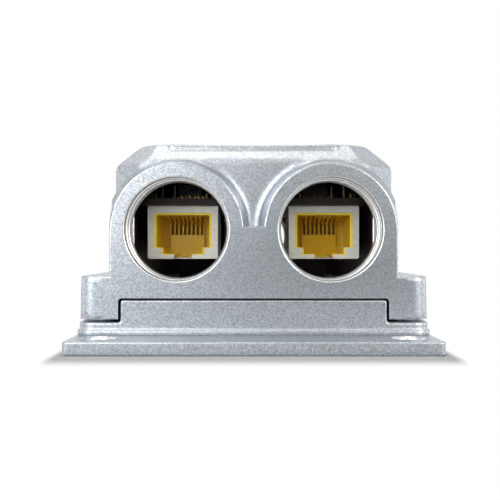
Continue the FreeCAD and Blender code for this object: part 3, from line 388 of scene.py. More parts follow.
@cache
def disc_group() -> Tree:
    """Build the mask of a round machined spot.

    Returns:
        The node group, with the mask.
    """
    sheet, start, end = new_group("machined_disc", "ShaderNodeTree",
                                  {"Across": 0.0, "Along": 0.0, "Radius": 0.003}, ("Mask",))
    across, along, radius = (sheet.math("POWER", socket, 2.0) for socket in start.outputs[:3])
    sheet.link(sheet.math("LESS_THAN", sheet.math("ADD", across, along), radius), end.inputs["Mask"])
    return sheet.tree


# Finishes

DUST_COLOUR: Colour = (0.62, 0.6, 0.56)
ROUGH_PER_TONE = -0.1
ROUGH_PER_STREAK = 0.3
RELIEF_PER_STREAK = 0.5


@dataclass(frozen=True)
class Finish:
    """A surface finish with a fine grain, softened edges with a painted highlight, streaks and a little dust.
    """

    name: str
    colour: Colour
    metallic: float = 0.0
    roughness: float = 0.5
    grain: float = 3000.0
    contrast: float = 0.15
    relief: float = 0.02 * MM
    edge_radius: float = 0.15 * MM
    # How far edges are lightened towards a pale colour: painted highlight, partly wear.
    edge_highlight_lift: float = 0.1
    edge_highlight_colour: Colour = (0.9, 0.9, 0.9)
    dust: float = 0.03
    streak: Point = (1.0, 1.0, 1.0)
    streak_depth: float = 0.0
    specular: float = 0.5

    def build(self) -> bpy.types.Material:
        """Make the material.

        Returns:
            The finished material.
        """
        sheet = Surface(self.name)
        shader = sheet.add("ShaderNodeBsdfPrincipled",
                           {"Metallic": self.metallic, "Specular IOR Level": self.specular})
        sheet.show(shader.outputs[0])
        self.dress(sheet, shader)
        return sheet.material

    def dress(self, sheet: Surface, shader: bpy.types.Node) -> None:
        """Feed the shader's colour, roughness and normal.

        Args:
            sheet: The material's sheet.
            shader: The Principled shader.
        """
        grain = sheet.effect(speckle_group(), Grain=self.grain, Contrast=1.0)
        edges = sheet.effect(edge_group(), Radius=self.rounding(sheet))
        dust = sheet.effect(dust_group(), Amount=self.dust)
        streaks = sheet.effect(streak_group(), Stretch=self.streak, Grain=self.grain)
        tone = sheet.math("MULTIPLY", sheet.math("SUBTRACT", grain.outputs["Mask"], MID_TONE),
                          self.contrast * NOISE_GAIN)
        drawn = sheet.math("MULTIPLY", sheet.math("SUBTRACT", streaks.outputs[0], MID_TONE),
                           self.streak_depth * NOISE_GAIN)
        factor = sheet.math("ADD", 1.0, sheet.math("ADD", tone, drawn))
        varied = sheet.vector("SCALE", self.base(sheet))
        sheet.link(factor, varied.inputs["Scale"])
        # Painted highlight: edges lightened towards a pale colour.
        edge_highlit = sheet.blend(sheet.math("MULTIPLY", edges.outputs["Mask"], self.edge_highlight_lift),
                             varied.outputs[0], self.edge_highlight_colour)
        sheet.link(sheet.blend(dust.outputs[0], edge_highlit, DUST_COLOUR), shader.inputs["Base Color"])
        rough = sheet.math("ADD", self.rough(sheet), sheet.math("MULTIPLY", tone, ROUGH_PER_TONE))
        rough = sheet.math("ADD", rough, sheet.math("MULTIPLY", drawn, ROUGH_PER_STREAK))
        sheet.link(sheet.math("ADD", rough, dust.outputs[0]), shader.inputs["Roughness"])
        height = sheet.math("ADD", grain.outputs["Height"], sheet.math("MULTIPLY", drawn, RELIEF_PER_STREAK))
        bump = sheet.add("ShaderNodeBump", {"Strength": 1.0, "Distance": self.relief,
                                            "Height": self.height(sheet, height),
                                            "Normal": edges.outputs["Normal"]})
        sheet.link(bump.outputs[0], shader.inputs["Normal"])
        self.extras(sheet, shader)

    def rounding(self, sheet: Surface) -> object:
        """Give the radius of the softened edges."""
        return self.edge_radius

    def base(self, sheet: Surface) -> object:
        """Give the base colour, before its variation."""
        return self.colour

    def rough(self, sheet: Surface) -> object:
        """Give the roughness, before its variation."""
        return self.roughness

    def height(self, sheet: Surface, grain: object) -> object:
        """Give the relief, from the height of the grain."""
        return grain

    def extras(self, sheet: Surface, shader: bpy.types.Node) -> None:
        """Set whatever else a finish needs on the shader."""


@cache
def material_of(finish: Finish) -> bpy.types.Material:
    """Build a finish's material once and give it again after that."""
    return finish.build()


@dataclass(frozen=True)
class Plane:
    """A plane and its mirror images: a direction and how far along it the space reaches, in millimetres."""

    direction: Point
    reach: float


@dataclass(frozen=True)
class RoundZone:
    """A part of a casting whose edges are rounder than the rest."""

    radius: float
    planes: tuple[Plane, ...]


@dataclass(frozen=True)
class CastPaint(Finish):
    """Silver metallic paint on a casting, with shade painted on its interior walls and some softer edges."""

    # Painted shade: within these planes the interior walls take a near-black, non-metallic colour where
    # little light reaches.
    inner_shade_planes: tuple[Plane, ...] = ()
    inner_shade_colour: Colour = (0.14, 0.08, 0.085)
    bare_colour: Colour = (0.8, 0.81, 0.82)
    bare_roughness: float = 0.3
    cloud_patch: float = 60.0
    cloud_depth: float = 0.93
    round_zones: tuple[RoundZone, ...] = ()

    def within(self, sheet: Surface, planes: tuple[Plane, ...]) -> Socket:
        """Mask the space that planes close in, the same on both sides of the middle.

        Args:
            sheet: The material's sheet.
            planes: The planes that close it in.

        Returns:
            The mask's socket.
        """
        folded = sheet.vector("ABSOLUTE", sheet.place).outputs[0]
        masks = [sheet.effect(plane_group(), Position=folded, Direction=plane.direction,
                              Reach=plane.reach * MM) for plane in planes]
        return sheet.both(*(mask.outputs["Mask"] for mask in masks))

    def inner_shade(self, sheet: Surface) -> object:
        """Mask where shade is painted on the casting's interior, if it has such planes."""
        return self.within(sheet, self.inner_shade_planes) if self.inner_shade_planes else 0.0

    def bare(self, sheet: Surface) -> object:
        """Mask the machined metal, which a plain casting doesn't have."""
        return 0.0

    def rounding(self, sheet: Surface) -> object:
        """Round the edges more where the casting's own edges are soft.

        Args:
            sheet: The material's sheet.

        Returns:
            The radius, or its socket.
        """
        radius = self.edge_radius
        for zone in self.round_zones:
            radius = sheet.lerp(self.within(sheet, zone.planes), radius, zone.radius)
        return radius

    def base(self, sheet: Surface) -> object:
        """Lay the paint, the bare metal and the painted shade inside.

        Args:
            sheet: The material's sheet.

        Returns:
            The colour's socket.
        """
        clouds = sheet.effect(cloud_group(), Patch=self.cloud_patch)
        deep = tuple(self.cloud_depth * part for part in self.colour)
        paint = sheet.blend(clouds.outputs["Mask"], deep, self.colour)
        # Painted shade laid on the interior walls.
        shaded = sheet.blend(self.inner_shade(sheet), paint, self.inner_shade_colour)
        return sheet.blend(self.bare(sheet), shaded, self.bare_colour)

    def rough(self, sheet: Surface) -> object:
        """Give the paint and the bare metal their own roughness."""
        return sheet.lerp(self.bare(sheet), self.roughness, self.bare_roughness)

    def extras(self, sheet: Surface, shader: bpy.types.Node) -> None:
        """Make the bare parts fully metallic, and the inside plain where shade is painted.

        Args:
            sheet: The material's sheet.
            shader: The Principled shader.
        """
        # The painted shade has no metallic sheen.
        inside = sheet.lerp(self.inner_shade(sheet), self.metallic, 0.0)
        sheet.link(sheet.lerp(self.bare(sheet), inside, 1.0), shader.inputs["Metallic"])


@dataclass(frozen=True, kw_only=True)
class PlatePaint(CastPaint):
    """The casting paint with bare metal round the screw holes of the mounting plate."""

    hole_x: float
    hole_y: float
    bare_radius: float

    def bare(self, sheet: Surface) -> object:
        """Mask the machined metal round each screw hole.

        Args:
            sheet: The material's sheet.

        Returns:
            The mask's socket.
        """
        x, y, _ = sheet.split_place()
        across = sheet.math("SUBTRACT", sheet.math("ABSOLUTE", x), self.hole_x)
        along = sheet.math("SUBTRACT", sheet.math("ABSOLUTE", y), self.hole_y)
        spot = sheet.effect(disc_group(), Across=across, Along=along, Radius=self.bare_radius)
        return spot.outputs["Mask"]


@dataclass(frozen=True, kw_only=True)
class HousingPaint(CastPaint):
    """The casting paint with bare metal in the bores of the threaded ports."""

    port_x: float
    port_z: float
    bare_radius: float
    bore_end_y: float

    def bare(self, sheet: Surface) -> object:
        """Mask the machined bores of the front pair of ports and of the rear port.

        Args:
            sheet: The material's sheet.

        Returns:
            The mask's socket.
        """
        x, y, z = sheet.split_place()
        paired = sheet.math("SUBTRACT", sheet.math("ABSOLUTE", x), self.port_x)
        across = sheet.lerp(sheet.math("GREATER_THAN", y, 0.0), paired, x)
        up = sheet.math("SUBTRACT", z, self.port_z)
        near = sheet.effect(disc_group(), Across=across, Along=up, Radius=self.bare_radius).outputs["Mask"]
        return sheet.both(near, sheet.math("GREATER_THAN", sheet.math("ABSOLUTE", y), self.bore_end_y))


@dataclass(frozen=True)
class BoardMask(Finish):
    """Dark solder mask over faint copper tracks on both faces of a board."""

    track_pitch: float = 420.0
    track_start: float = 0.5
    track_colour: Colour = (0.05, 0.075, 0.045)
    flat_facing: float = 0.5
    grain_share: float = 0.2

    def tracks(self, sheet: Surface) -> Socket:
        """Mask the tracks, as the edges of square cells.

        Args:
            sheet: The material's sheet.

        Returns:
            The mask's socket.
        """
        cells = sheet.add("ShaderNodeTexVoronoi", {"Vector": sheet.place, "Scale": self.track_pitch},
                          distance="CHEBYCHEV", feature="F1")
        normal = sheet.add("ShaderNodeNewGeometry").outputs["Normal"]
        facing = sheet.math("ABSOLUTE", sheet.add("ShaderNodeSeparateXYZ", {0: normal}).outputs[2])
        return sheet.both(sheet.math("GREATER_THAN", cells.outputs["Distance"], self.track_start),
                          sheet.math("GREATER_THAN", facing, self.flat_facing))

    def base(self, sheet: Surface) -> object:
        """Lay the tracks under the mask."""
        return sheet.blend(self.tracks(sheet), self.colour, self.track_colour)

    def height(self, sheet: Surface, grain: object) -> object:
        """Raise the tracks a little."""
        return sheet.math("ADD", self.tracks(sheet), sheet.math("MULTIPLY", grain, self.grain_share))


@dataclass(frozen=True)
class ClearPlastic(Finish):
    """Clear moulded plastic that lets light through."""

    transmission: float = 0.85

    def extras(self, sheet: Surface, shader: bpy.types.Node) -> None:
        """Let light through."""
        shader.inputs["Transmission Weight"].default_value = self.transmission


@dataclass(frozen=True)
class WoundTape(Finish):
    """Tape wound in layers round a coil, with its overlaps showing as bands."""

    band_pitch: float = 900.0
    grain_share: float = 0.3

    def height(self, sheet: Surface, grain: object) -> object:
        """Step the surface at each overlap of the tape.

        Args:
            sheet: The material's sheet.
            grain: The height of the grain.

        Returns:
            The height's socket.
        """
        y = sheet.split_place()[1]
        step = sheet.math("FRACT", sheet.math("MULTIPLY", y, self.band_pitch))
        return sheet.math("ADD", step, sheet.math("MULTIPLY", grain, self.grain_share))


# The finishes of this object

SILVER: Colour = (0.44, 0.47, 0.504)
# The paint's edges get a painted highlight, partly wear.
PAINT: dict[str, object] = {
    "colour": SILVER, "metallic": 0.85, "roughness": 0.31, "grain": 3800.0, "contrast": 0.42,
    "relief": 0.009 * MM, "edge_radius": 0.3 * MM, "edge_highlight_lift": 0.5, "dust": 0.02,
}

# The space just inside the walls of the housing and of its cover, where shade is painted on the casting
HOUSING_SHADE_SPACE = (
    Plane((1.0, 0.0, 0.0), 27.3), Plane((0.0, 1.0, 0.0), 41.35), Plane((0.0, 0.0, 1.0), 40.6),
    Plane((0.0, 0.0, -1.0), -6.6), Plane((0.672, 0.0, 0.741), 45.8), Plane((0.0, 0.707, 0.707), 56.3),
    Plane((0.593, 0.805, 0.0), 47.1), Plane((0.399, 0.547, 0.736), 59.3),
)
COVER_SHADE_SPACE = (Plane((1.0, 0.0, 0.0), 24.3), Plane((0.0, 1.0, 0.0), 44.8), Plane((0.0, 0.0, -1.0), -4.0))

# Where the castings have rounder edges, which also widens the painted edge highlight
EAR_CORNERS = RoundZone(1.6 * MM, (Plane((-1.0, 0.0, 0.0), -31.5), Plane((0.0, -1.0, 0.0), -44.0)))
LIP_EDGES = RoundZone(0.9 * MM, (Plane((0.0, 0.0, -1.0), -41.2),))
BOSS_FEET = RoundZone(1.8 * MM, (Plane((0.0, -1.0, 0.0), -43.0), Plane((0.0, 1.0, 0.0), 47.1),
                                 Plane((1.0, 0.0, 0.0), 27.5)))
PLINTH_STEP = RoundZone(0.8 * MM, (Plane((0.0, 0.0, 1.0), 5.4),))

# The machined spots, from the record's mounts
BORE = MOUNTS["out_port_2_thread"]
BORE_EDGE = 0.18 * MM
BORE_RUN_OUT = 0.1 * MM
HOLES = MOUNTS["plate_holes"]["dims"]
HOLE_EDGE = 0.55 * MM

HOUSING_PAINT = HousingPaint(
    name="housing_paint", **PAINT, inner_shade_planes=HOUSING_SHADE_SPACE, bare_colour=(0.93, 0.94, 0.95),
    round_zones=(EAR_CORNERS, LIP_EDGES, BOSS_FEET), port_x=BORE["pos_m"][0], port_z=BORE["pos_m"][2],
    bare_radius=BORE["dims"]["r_mm"] * MM + BORE_EDGE,
    bore_end_y=-BORE["pos_m"][1] - BORE["dims"]["length_mm"] / 2 * MM - BORE_RUN_OUT)
COVER_PAINT = CastPaint(name="cover_paint", **PAINT, inner_shade_planes=COVER_SHADE_SPACE,
                        round_zones=(EAR_CORNERS, PLINTH_STEP))
PLATE_PAINT = PlatePaint(name="plate_paint", **PAINT, hole_x=HOLES["spacing_x_mm"] / 2 * MM,
                         hole_y=HOLES["spacing_y_mm"] / 2 * MM,
                         bare_radius=HOLES["hole_r_mm"] * MM + HOLE_EDGE)

THREAD_METAL = Finish("thread_metal", (0.86, 0.87, 0.88), metallic=1.0, roughness=0.32, grain=2600.0,
                      contrast=0.14, streak=(1.0, 0.12, 1.0), streak_depth=0.1, edge_highlight_lift=0.2, dust=0.0)
SCREW_STEEL = Finish("turned_steel", (0.6, 0.6, 0.58), metallic=1.0, roughness=0.3, streak=(1.0, 0.2, 1.0),
                     streak_depth=0.12, edge_highlight_lift=0.3)
TIN_PLATE = Finish("tin_plate", (0.68, 0.67, 0.59), metallic=0.35, roughness=0.5, grain=1800.0, contrast=0.08,
                   streak=(0.15, 1.0, 1.0), streak_depth=0.06, relief=0.01 * MM, edge_radius=0.08 * MM)
GOLD_PLATE = Finish("gold_plate", (0.86, 0.6, 0.22), metallic=1.0, roughness=0.28, contrast=0.06,
                    streak=(1.0, 0.1, 1.0), streak_depth=0.05, edge_radius=0.04 * MM, dust=0.0)
# The insert's rims carry a strong painted highlight in pale yellow.
YELLOW_PLASTIC = Finish("yellow_plastic", (1.0, 0.72, 0.02), roughness=0.26, grain=4200.0, contrast=0.05,
                        relief=0.008 * MM, edge_radius=0.34 * MM, edge_highlight_lift=1.0, edge_highlight_colour=(1.0, 0.95, 0.3),
                        dust=0.0)
SEAL_RUBBER = Finish("seal_rubber", (0.02, 0.02, 0.02), roughness=0.75, grain=3800.0, contrast=0.1)
BOARD_FINISH = BoardMask("board_mask", (0.02, 0.012, 0.012), roughness=0.5, grain=5000.0, contrast=0.08,
                         specular=0.3)
CASE_PLASTIC = Finish("case_plastic", (0.014, 0.014, 0.016), roughness=0.55, grain=5200.0, contrast=0.12,
                      specular=0.3)
CHIP_PLASTIC = Finish("chip_plastic", (0.014, 0.014, 0.016), roughness=0.6, grain=6000.0, contrast=0.15,
                      specular=0.3)
FERRITE = Finish("ferrite", (0.03, 0.03, 0.034), roughness=0.5, grain=4500.0, contrast=0.3, relief=0.03 * MM)
COIL_TAPE = WoundTape("coil_tape", (0.62, 0.42, 0.05), roughness=0.3, relief=0.05 * MM, contrast=0.05)
COPPER = Finish("copper_wire", (0.62, 0.25, 0.1), metallic=0.9, roughness=0.32, streak=(0.3, 0.3, 1.0),
                streak_depth=0.08, edge_radius=0.02 * MM)
CAN_SLEEVE = Finish("can_sleeve", (0.02, 0.028, 0.07), roughness=0.3, contrast=0.05, relief=0.006 * MM)
CRYSTAL_CAN = Finish("crystal_can", (0.6, 0.6, 0.58), metallic=1.0, roughness=0.35, streak=(0.2, 1.0, 1.0),
                     streak_depth=0.06)
ARRESTER = Finish("arrester_body", (0.7, 0.7, 0.67), roughness=0.25, contrast=0.04)
LAMP_BODY = Finish("lamp_body", (0.8, 0.82, 0.74), roughness=0.2, contrast=0.03, relief=0.004 * MM)
CLEAR_GUIDE = ClearPlastic("clear_guide", (0.86, 0.88, 0.9), roughness=0.18, contrast=0.02,
                           relief=0.004 * MM, edge_highlight_lift=0.0)
SOLDER = Finish("solder", (0.5, 0.49, 0.44), metallic=1.0, roughness=0.35, grain=2500.0, contrast=0.15)
LEAD_METAL = Finish("lead_metal", (0.72, 0.6, 0.2), metallic=0.7, roughness=0.45, contrast=0.12)
PIN_METAL = Finish("pin_metal", (0.85, 0.84, 0.8), metallic=0.7, roughness=0.3, contrast=0.06)


def dress(node: str, finish: Finish) -> None:
    """Give a CAD node its finish.

    Args:
        node: The node's name.
        finish: The finish to put in its material slot.
    """
    frame["nodes"][node].material_slots[0].material = material_of(finish)
    LOG.info("dressed %s with %s", node, finish.name)


# Geometry Nodes patterns

def name_sockets(tree: Tree) -> dict[str, str]:
    """Give the identifier of each named input of a tree."""
    return {item.name: item.identifier for item in tree.interface.items_tree
            if item.item_type == "SOCKET" and item.in_out == "INPUT"}


@dataclass(frozen=True)
class Pattern:
    """A piece that a Geometry Nodes tree makes at a list of places."""

    name: str
    slot: Slot
    finish: Finish

    def make(self, tree: Tree, places: list[Vector], sizes: dict[str, object],
             turns: list[Vector] | None = None) -> bpy.types.Object:
        """Run the tree over the places, turn the result into a plain mesh and seat it.

        Args:
            tree: The Geometry Nodes tree.
            places: The points that carry a copy.
            sizes: The tree's named inputs.
            turns: Each point's turn, as Euler angles; none leaves the copies level.

        Returns:
            The finished piece.
        """
        mesh = bpy.data.meshes.new(self.name)
        mesh.from_pydata([tuple(place) for place in places], [], [])
        facing = mesh.attributes.new("facing", "FLOAT_VECTOR", "POINT")
        turns = turns or [Vector((0.0, 0.0, 0.0))] * len(places)
        facing.data.foreach_set("vector", [part for turn in turns for part in turn])
        piece = bpy.data.objects.new(self.name, mesh)
        bpy.context.scene.collection.objects.link(piece)
        modifier = piece.modifiers.new("pattern", "NODES")
        modifier.node_group = tree
        sockets = name_sockets(tree)
        for label, value in sizes.items():
            modifier[sockets[label]] = value
        modifier[sockets["Material"]] = material_of(self.finish)
        evaluated = piece.evaluated_get(bpy.context.evaluated_depsgraph_get())
        plain = bpy.data.meshes.new_from_object(evaluated)
        piece.modifiers.clear()
        piece.data = plain
        plain.name = self.name
        bpy.data.meshes.remove(mesh)
        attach(piece, BODY)
        LOG.info("made %s with %d faces", self.name, len(plain.polygons))
        return piece


def place_copies(sheet: Sheet, start: bpy.types.Node, end: bpy.types.Node, copy: Socket) -> None:
    """End a tree: put a copy at each point, turned by the point's facing, and give it its material.

    Args:
        sheet: The tree's sheet.
        start: The tree's input node.
        end: The tree's output node.
        copy: The geometry to repeat.
    """
    facing = sheet.add("GeometryNodeInputNamedAttribute", {"Name": "facing"}, data_type="FLOAT_VECTOR")
    spread = sheet.add("GeometryNodeInstanceOnPoints",
                       {"Points": start.outputs["Geometry"], "Instance": copy})
    turn = sheet.add("FunctionNodeEulerToRotation", {0: facing.outputs[0]})
    sheet.link(turn.outputs[0], spread.inputs["Rotation"])
    real = sheet.add("GeometryNodeRealizeInstances", {0: spread.outputs[0]})
    painted = sheet.add("GeometryNodeSetMaterial", {"Geometry": real.outputs[0],
                                                    "Material": start.outputs["Material"]})
    sheet.link(painted.outputs[0], end.inputs["Geometry"])


def thread_tree() -> Tree:
    """Build the tree of a screw thread that winds into a bore.

    Returns:
        The tree, whose copies start at each point and wind along their own Z.
    """
    sheet, start, end = new_group(
        "thread_in_bore", "GeometryNodeTree",
        {"Geometry": None, "Wall Radius": 0.011, "Ridge": 0.0008, "Root Width": 0.0012, "Crest Width": 0.0002,
         "Turns": 5.0, "Length": 0.008, "Lead In": 0.3, "Run Out": 0.08, "Sink": 0.00005, "Material": ""},
        ("Geometry",))
    get = start.outputs
    middle = sheet.math("SUBTRACT", sheet.math("ADD", get["Wall Radius"], get["Sink"]),
                        sheet.math("MULTIPLY", get["Ridge"], 0.5))
    spiral = sheet.add("GeometryNodeCurveSpiral", {"Resolution": 96, "Rotations": get["Turns"],
                                                   "Start Radius": middle, "End Radius": middle,
                                                   "Height": get["Length"]})
    along = sheet.add("GeometryNodeSplineParameter").outputs["Factor"]
    rise = sheet.math("DIVIDE", along, get["Lead In"])
    fall = sheet.math("DIVIDE", sheet.math("SUBTRACT", 1.0, along), get["Run Out"])
    shown = sheet.math("MINIMUM", sheet.math("MINIMUM", rise, fall), 1.0)
    hidden = sheet.math("MULTIPLY", sheet.math("SUBTRACT", 1.0, shown), get["Ridge"])
    flat = sheet.vector("MULTIPLY", sheet.add("GeometryNodeInputPosition").outputs[0], (1.0, 1.0, 0.0))
    outward = sheet.vector("NORMALIZE", flat.outputs[0]).outputs[0]
    shift = sheet.vector("SCALE", outward)
    sheet.link(hidden, shift.inputs["Scale"])
    sunk = sheet.add("GeometryNodeSetPosition", {"Geometry": spiral.outputs[0], "Offset": shift.outputs[0]})
    upright = sheet.add("GeometryNodeSetCurveNormal", {"Curve": sunk.outputs[0]}, mode="Z_UP")
    section = sheet.add("GeometryNodeCurvePrimitiveQuadrilateral",
                        {"Bottom Width": get["Crest Width"], "Top Width": get["Root Width"],
                         "Height": get["Ridge"], "Offset": 0.0}, mode="TRAPEZOID")
    turned = sheet.add("GeometryNodeTransform", {"Geometry": section.outputs[0],
                                                 "Rotation": (0.0, 0.0, math.pi / 2)})
    ridge = sheet.add("GeometryNodeCurveToMesh", {"Curve": upright.outputs[0],
                                                  "Profile Curve": turned.outputs[0], "Fill Caps": True})
    place_copies(sheet, start, end, ridge.outputs[0])
    return sheet.tree


@cache
def stud_tree() -> Tree:
    """Build the tree of small round studs: pins, posts and solder cones.

    Returns:
        The tree, whose copies stand on each point along their own Z.
    """
    sheet, start, end = new_group(
        "round_studs", "GeometryNodeTree",
        {"Geometry": None, "Foot Radius": 0.0004, "Tip Radius": 0.0002, "Height": 0.001, "Material": ""},
        ("Geometry",))
    get = start.outputs
    cone = sheet.add("GeometryNodeMeshCone",
                     {"Vertices": 16, "Side Segments": 1, "Radius Top": get["Tip Radius"],
                      "Radius Bottom": get["Foot Radius"], "Depth": get["Height"]})
    place_copies(sheet, start, end, cone.outputs["Mesh"])
    return sheet.tree


def coil_tree() -> Tree:
    """Build the tree of a winding: one wire ring on top of another.

    Returns:
        The tree, whose copies stand on each point along their own Z.
    """
    sheet, start, end = new_group(
        "wire_rings", "GeometryNodeTree",
        {"Geometry": None, "Coil Radius": 0.004, "Wire Radius": 0.0003, "Rings": 8, "Pitch": 0.0006,
         "Material": ""}, ("Geometry",))
    get = start.outputs
    ring = sheet.add("GeometryNodeCurvePrimitiveCircle", {"Resolution": 48, "Radius": get["Coil Radius"]})
    section = sheet.add("GeometryNodeCurvePrimitiveCircle", {"Resolution": 8, "Radius": get["Wire Radius"]})
    wire = sheet.add("GeometryNodeCurveToMesh",
                     {"Curve": ring.outputs[0], "Profile Curve": section.outputs[0]})
    step = sheet.add("ShaderNodeCombineXYZ", {2: get["Pitch"]}).outputs[0]
    stack = sheet.add("GeometryNodeMeshLine", {"Count": get["Rings"], "Offset": step})
    coil = sheet.add("GeometryNodeInstanceOnPoints",
                     {"Points": stack.outputs[0], "Instance": wire.outputs[0]})
    place_copies(sheet, start, end, coil.outputs[0])
    return sheet.tree


# Sub-assemblies

@dataclass
class Casings:
    """The painted castings, the mounting plate, the seal and the screws between them."""

    def build(self) -> None:
        """Dress the castings and what holds them together."""
        dress("housing", HOUSING_PAINT)
        dress("base_cover", COVER_PAINT)
        dress("mount_plate", PLATE_PAINT)
        dress("seal_cord", SEAL_RUBBER)
        for screws in ("cover_screws", "plate_screws", "board_screws"):
            dress(screws, SCREW_STEEL)
        dress("light_guides", CLEAR_GUIDE)


@dataclass
class PortThreads:
    """The machined threads in the bores of the three ports."""

    ridge: float = 0.68 * MM
    pitch: float = 1.5 * MM
    root_width: float = 1.2 * MM
    crest_width: float = 0.28 * MM
    end_clearance: float = 0.65 * MM
    lead_in: float = 0.5
    run_out: float = 0.08
    sink: float = 0.05 * MM

    def build(self) -> None:
        """Wind a thread into each bore that the record lists."""
        ports = [mount for mount in MOUNTS.values() if mount["kind"] == "threaded_hole"]
        length = BORE["dims"]["length_mm"] * MM
        wound = length - 2 * self.end_clearance
        places, turns = [], []
        for port in ports:
            outward = Vector(port["axis"])
            places.append(Vector(port["pos_m"]) + outward * (length / 2 - self.end_clearance))
            turns.append(Vector((math.copysign(math.pi / 2, outward.y), 0.0, 0.0)))
        sizes = {"Wall Radius": BORE["dims"]["r_mm"] * MM, "Ridge": self.ridge, "Root Width": self.root_width,
                 "Crest Width": self.crest_width, "Turns": wound / self.pitch, "Length": wound,
                 "Lead In": self.lead_in, "Run Out": self.run_out, "Sink": self.sink}
        Pattern("thread_ridges", Slot.CAST, THREAD_METAL).make(thread_tree(), places, sizes, turns)


@dataclass
class PortJack:
    """One modular jack: its shield, its insert and its contacts."""

    port: str

    def build(self) -> None:
        """Dress the pieces of the jack."""
        dress(f"{self.port}_shield", TIN_PLATE)
        dress(f"{self.port}_insert", YELLOW_PLASTIC)
        dress(f"{self.port}_contacts", GOLD_PLATE)


@dataclass(frozen=True)
class Stud:
    """The size of a small round stud."""

    foot: float
    tip: float
    height: float

    def sizes(self) -> dict[str, object]:
        """Give the named inputs of the stud tree."""
        return {"Foot Radius": self.foot, "Tip Radius": self.tip, "Height": self.height}


@dataclass
class MainBoard:
    """The circuit board with its parts, its solder and the leads that stand out of it."""

    contact_count: int = 8
    contact_pitch: float = 1.02 * MM
    tail_rows: tuple[float, float] = (14.8 * MM, 16.6 * MM)
    post_rows: tuple[float, float] = (5.1 * MM, 6.6 * MM)
    post_depth: float = 4.6 * MM
    solder: Stud = Stud(0.46 * MM, 0.24 * MM, 0.55 * MM)
    post: Stud = Stud(0.3 * MM, 0.22 * MM, 1.5 * MM)
    pin: Stud = Stud(0.26 * MM, 0.24 * MM, 3.6 * MM)
    pin_places: tuple[tuple[float, float], ...] = ((18.54 * MM, -24.0 * MM), (21.41 * MM, -24.0 * MM))
    wire_radius: float = 0.28 * MM

    def build(self) -> None:
        """Dress the board and its parts, then add the solder, the posts and the wire."""
        finishes = {
            "main_board": BOARD_FINISH, "port_transformers": CASE_PLASTIC, "power_transformer_core": FERRITE,
            "power_transformer_winding": COIL_TAPE, "choke_core": FERRITE, "choke_winding": COPPER,
            "bulk_capacitors": CAN_SLEEVE, "rectifier_bridges": CHIP_PLASTIC, "switch_chip": CHIP_PLASTIC,
            "clock_crystal": CRYSTAL_CAN, "power_transistors": CHIP_PLASTIC, "sense_resistor": CHIP_PLASTIC,
            "supply_controllers": CHIP_PLASTIC, "device_controller": CHIP_PLASTIC,
            "surge_arresters": ARRESTER, "status_lamps": LAMP_BODY,
        }
        for node, finish in finishes.items():
            dress(node, finish)
        self.solder_jacks()
        self.stand_pins()
        self.wind_choke()

    def jack_joints(self, port: str) -> tuple[list[Vector], list[Vector]]:
        """Work out where a jack's leads come through the board.

        Args:
            port: The port's name.

        Returns:
            The places of the contact tails and those of the two pairs of posts beside the jack.
        """
        low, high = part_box(f"{port}_shield")
        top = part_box("main_board")[1].z
        middle = (low.x + high.x) / 2
        inward = 1.0 if low.y < 0 else -1.0
        mouth = low.y if inward > 0 else high.y
        tails = []
        for step in range(self.contact_count):
            across = (step - (self.contact_count - 1) / 2) * self.contact_pitch
            depth = self.tail_rows[step % len(self.tail_rows)]
            tails.append(Vector((middle + across, mouth + inward * depth, top)))
        posts = [Vector((middle + side * row, mouth + inward * self.post_depth, top))
                 for side in (-1, 1) for row in self.post_rows]
        return tails, posts

    def solder_jacks(self) -> None:
        """Put a solder cone round every lead and let the posts stand out."""
        tails, posts = [], []
        for port in PORT_NAMES:
            more_tails, more_posts = self.jack_joints(port)
            tails += more_tails
            posts += more_posts
        Pattern("solder_joints", Slot.SHIELD, SOLDER).make(stud_tree(), tails + posts, self.solder.sizes())
        Pattern("lead_posts", Slot.CONTACT, LEAD_METAL).make(stud_tree(), posts, self.post.sizes())

    def stand_pins(self) -> None:
        """Stand a pair of tall bright pins on the board behind each front jack."""
        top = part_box("main_board")[1].z
        places = [Vector((side * x, y, top)) for side in (-1, 1) for x, y in self.pin_places]
        Pattern("board_pins", Slot.SHIELD, PIN_METAL).make(stud_tree(), places, self.pin.sizes())

    def wind_choke(self) -> None:
        """Wind the wire of the filter choke, ring on ring, in place of its plain solid."""
        low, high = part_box("choke_winding")
        radius = (high.x - low.x) / 2 - self.wire_radius
        pitch = 2 * self.wire_radius
        rings = int((high.z - low.z) / pitch)
        spare = (high.z - low.z) - rings * pitch
        foot = Vector(((low.x + high.x) / 2, (low.y + high.y) / 2, low.z + self.wire_radius + spare / 2))
        piece = Pattern("choke_wire", Slot.COPPER, COPPER).make(
            coil_tree(), [foot],
            {"Coil Radius": radius, "Wire Radius": self.wire_radius, "Rings": rings, "Pitch": pitch})
        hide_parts("choke_winding")


@dataclass
class EarthTerminal:
    """The screw and the toothed washer beside the rear port."""

    def build(self) -> None:
        """Dress the screw and its washer."""
        dress("earth_screw", SCREW_STEEL)
        dress("earth_washer", SCREW_STEEL)


# Studio

OBJECT_MIDDLE: Point = (0.0, 0.0, 0.02)


def aim_at_object(item: bpy.types.Object) -> None:
    """Turn an item so that it faces the middle of the object."""
    item.rotation_euler = (Vector(OBJECT_MIDDLE) - item.location).to_track_quat("-Z", "Y").to_euler()


@dataclass(frozen=True)
class SoftLight:
    """A soft lamp that looks at the object; its strength is the brightness of its face."""

    name: str
    place: Point
    width: float
    height: float
    strength: float
    tint: Colour = (1.05, 1.0, 0.945)

    def build(self) -> None:
        """Hang the lamp and turn it to the object."""
        data = bpy.data.lights.new(self.name, "AREA")
        data.shape = "RECTANGLE"
        data.size, data.size_y = self.width, self.height
        data.energy = self.strength * math.pi * self.width * self.height
        data.color = self.tint
        lamp = bpy.data.objects.new(self.name, data)
        bpy.context.scene.collection.objects.link(lamp)
        lamp.location = self.place
        aim_at_object(lamp)


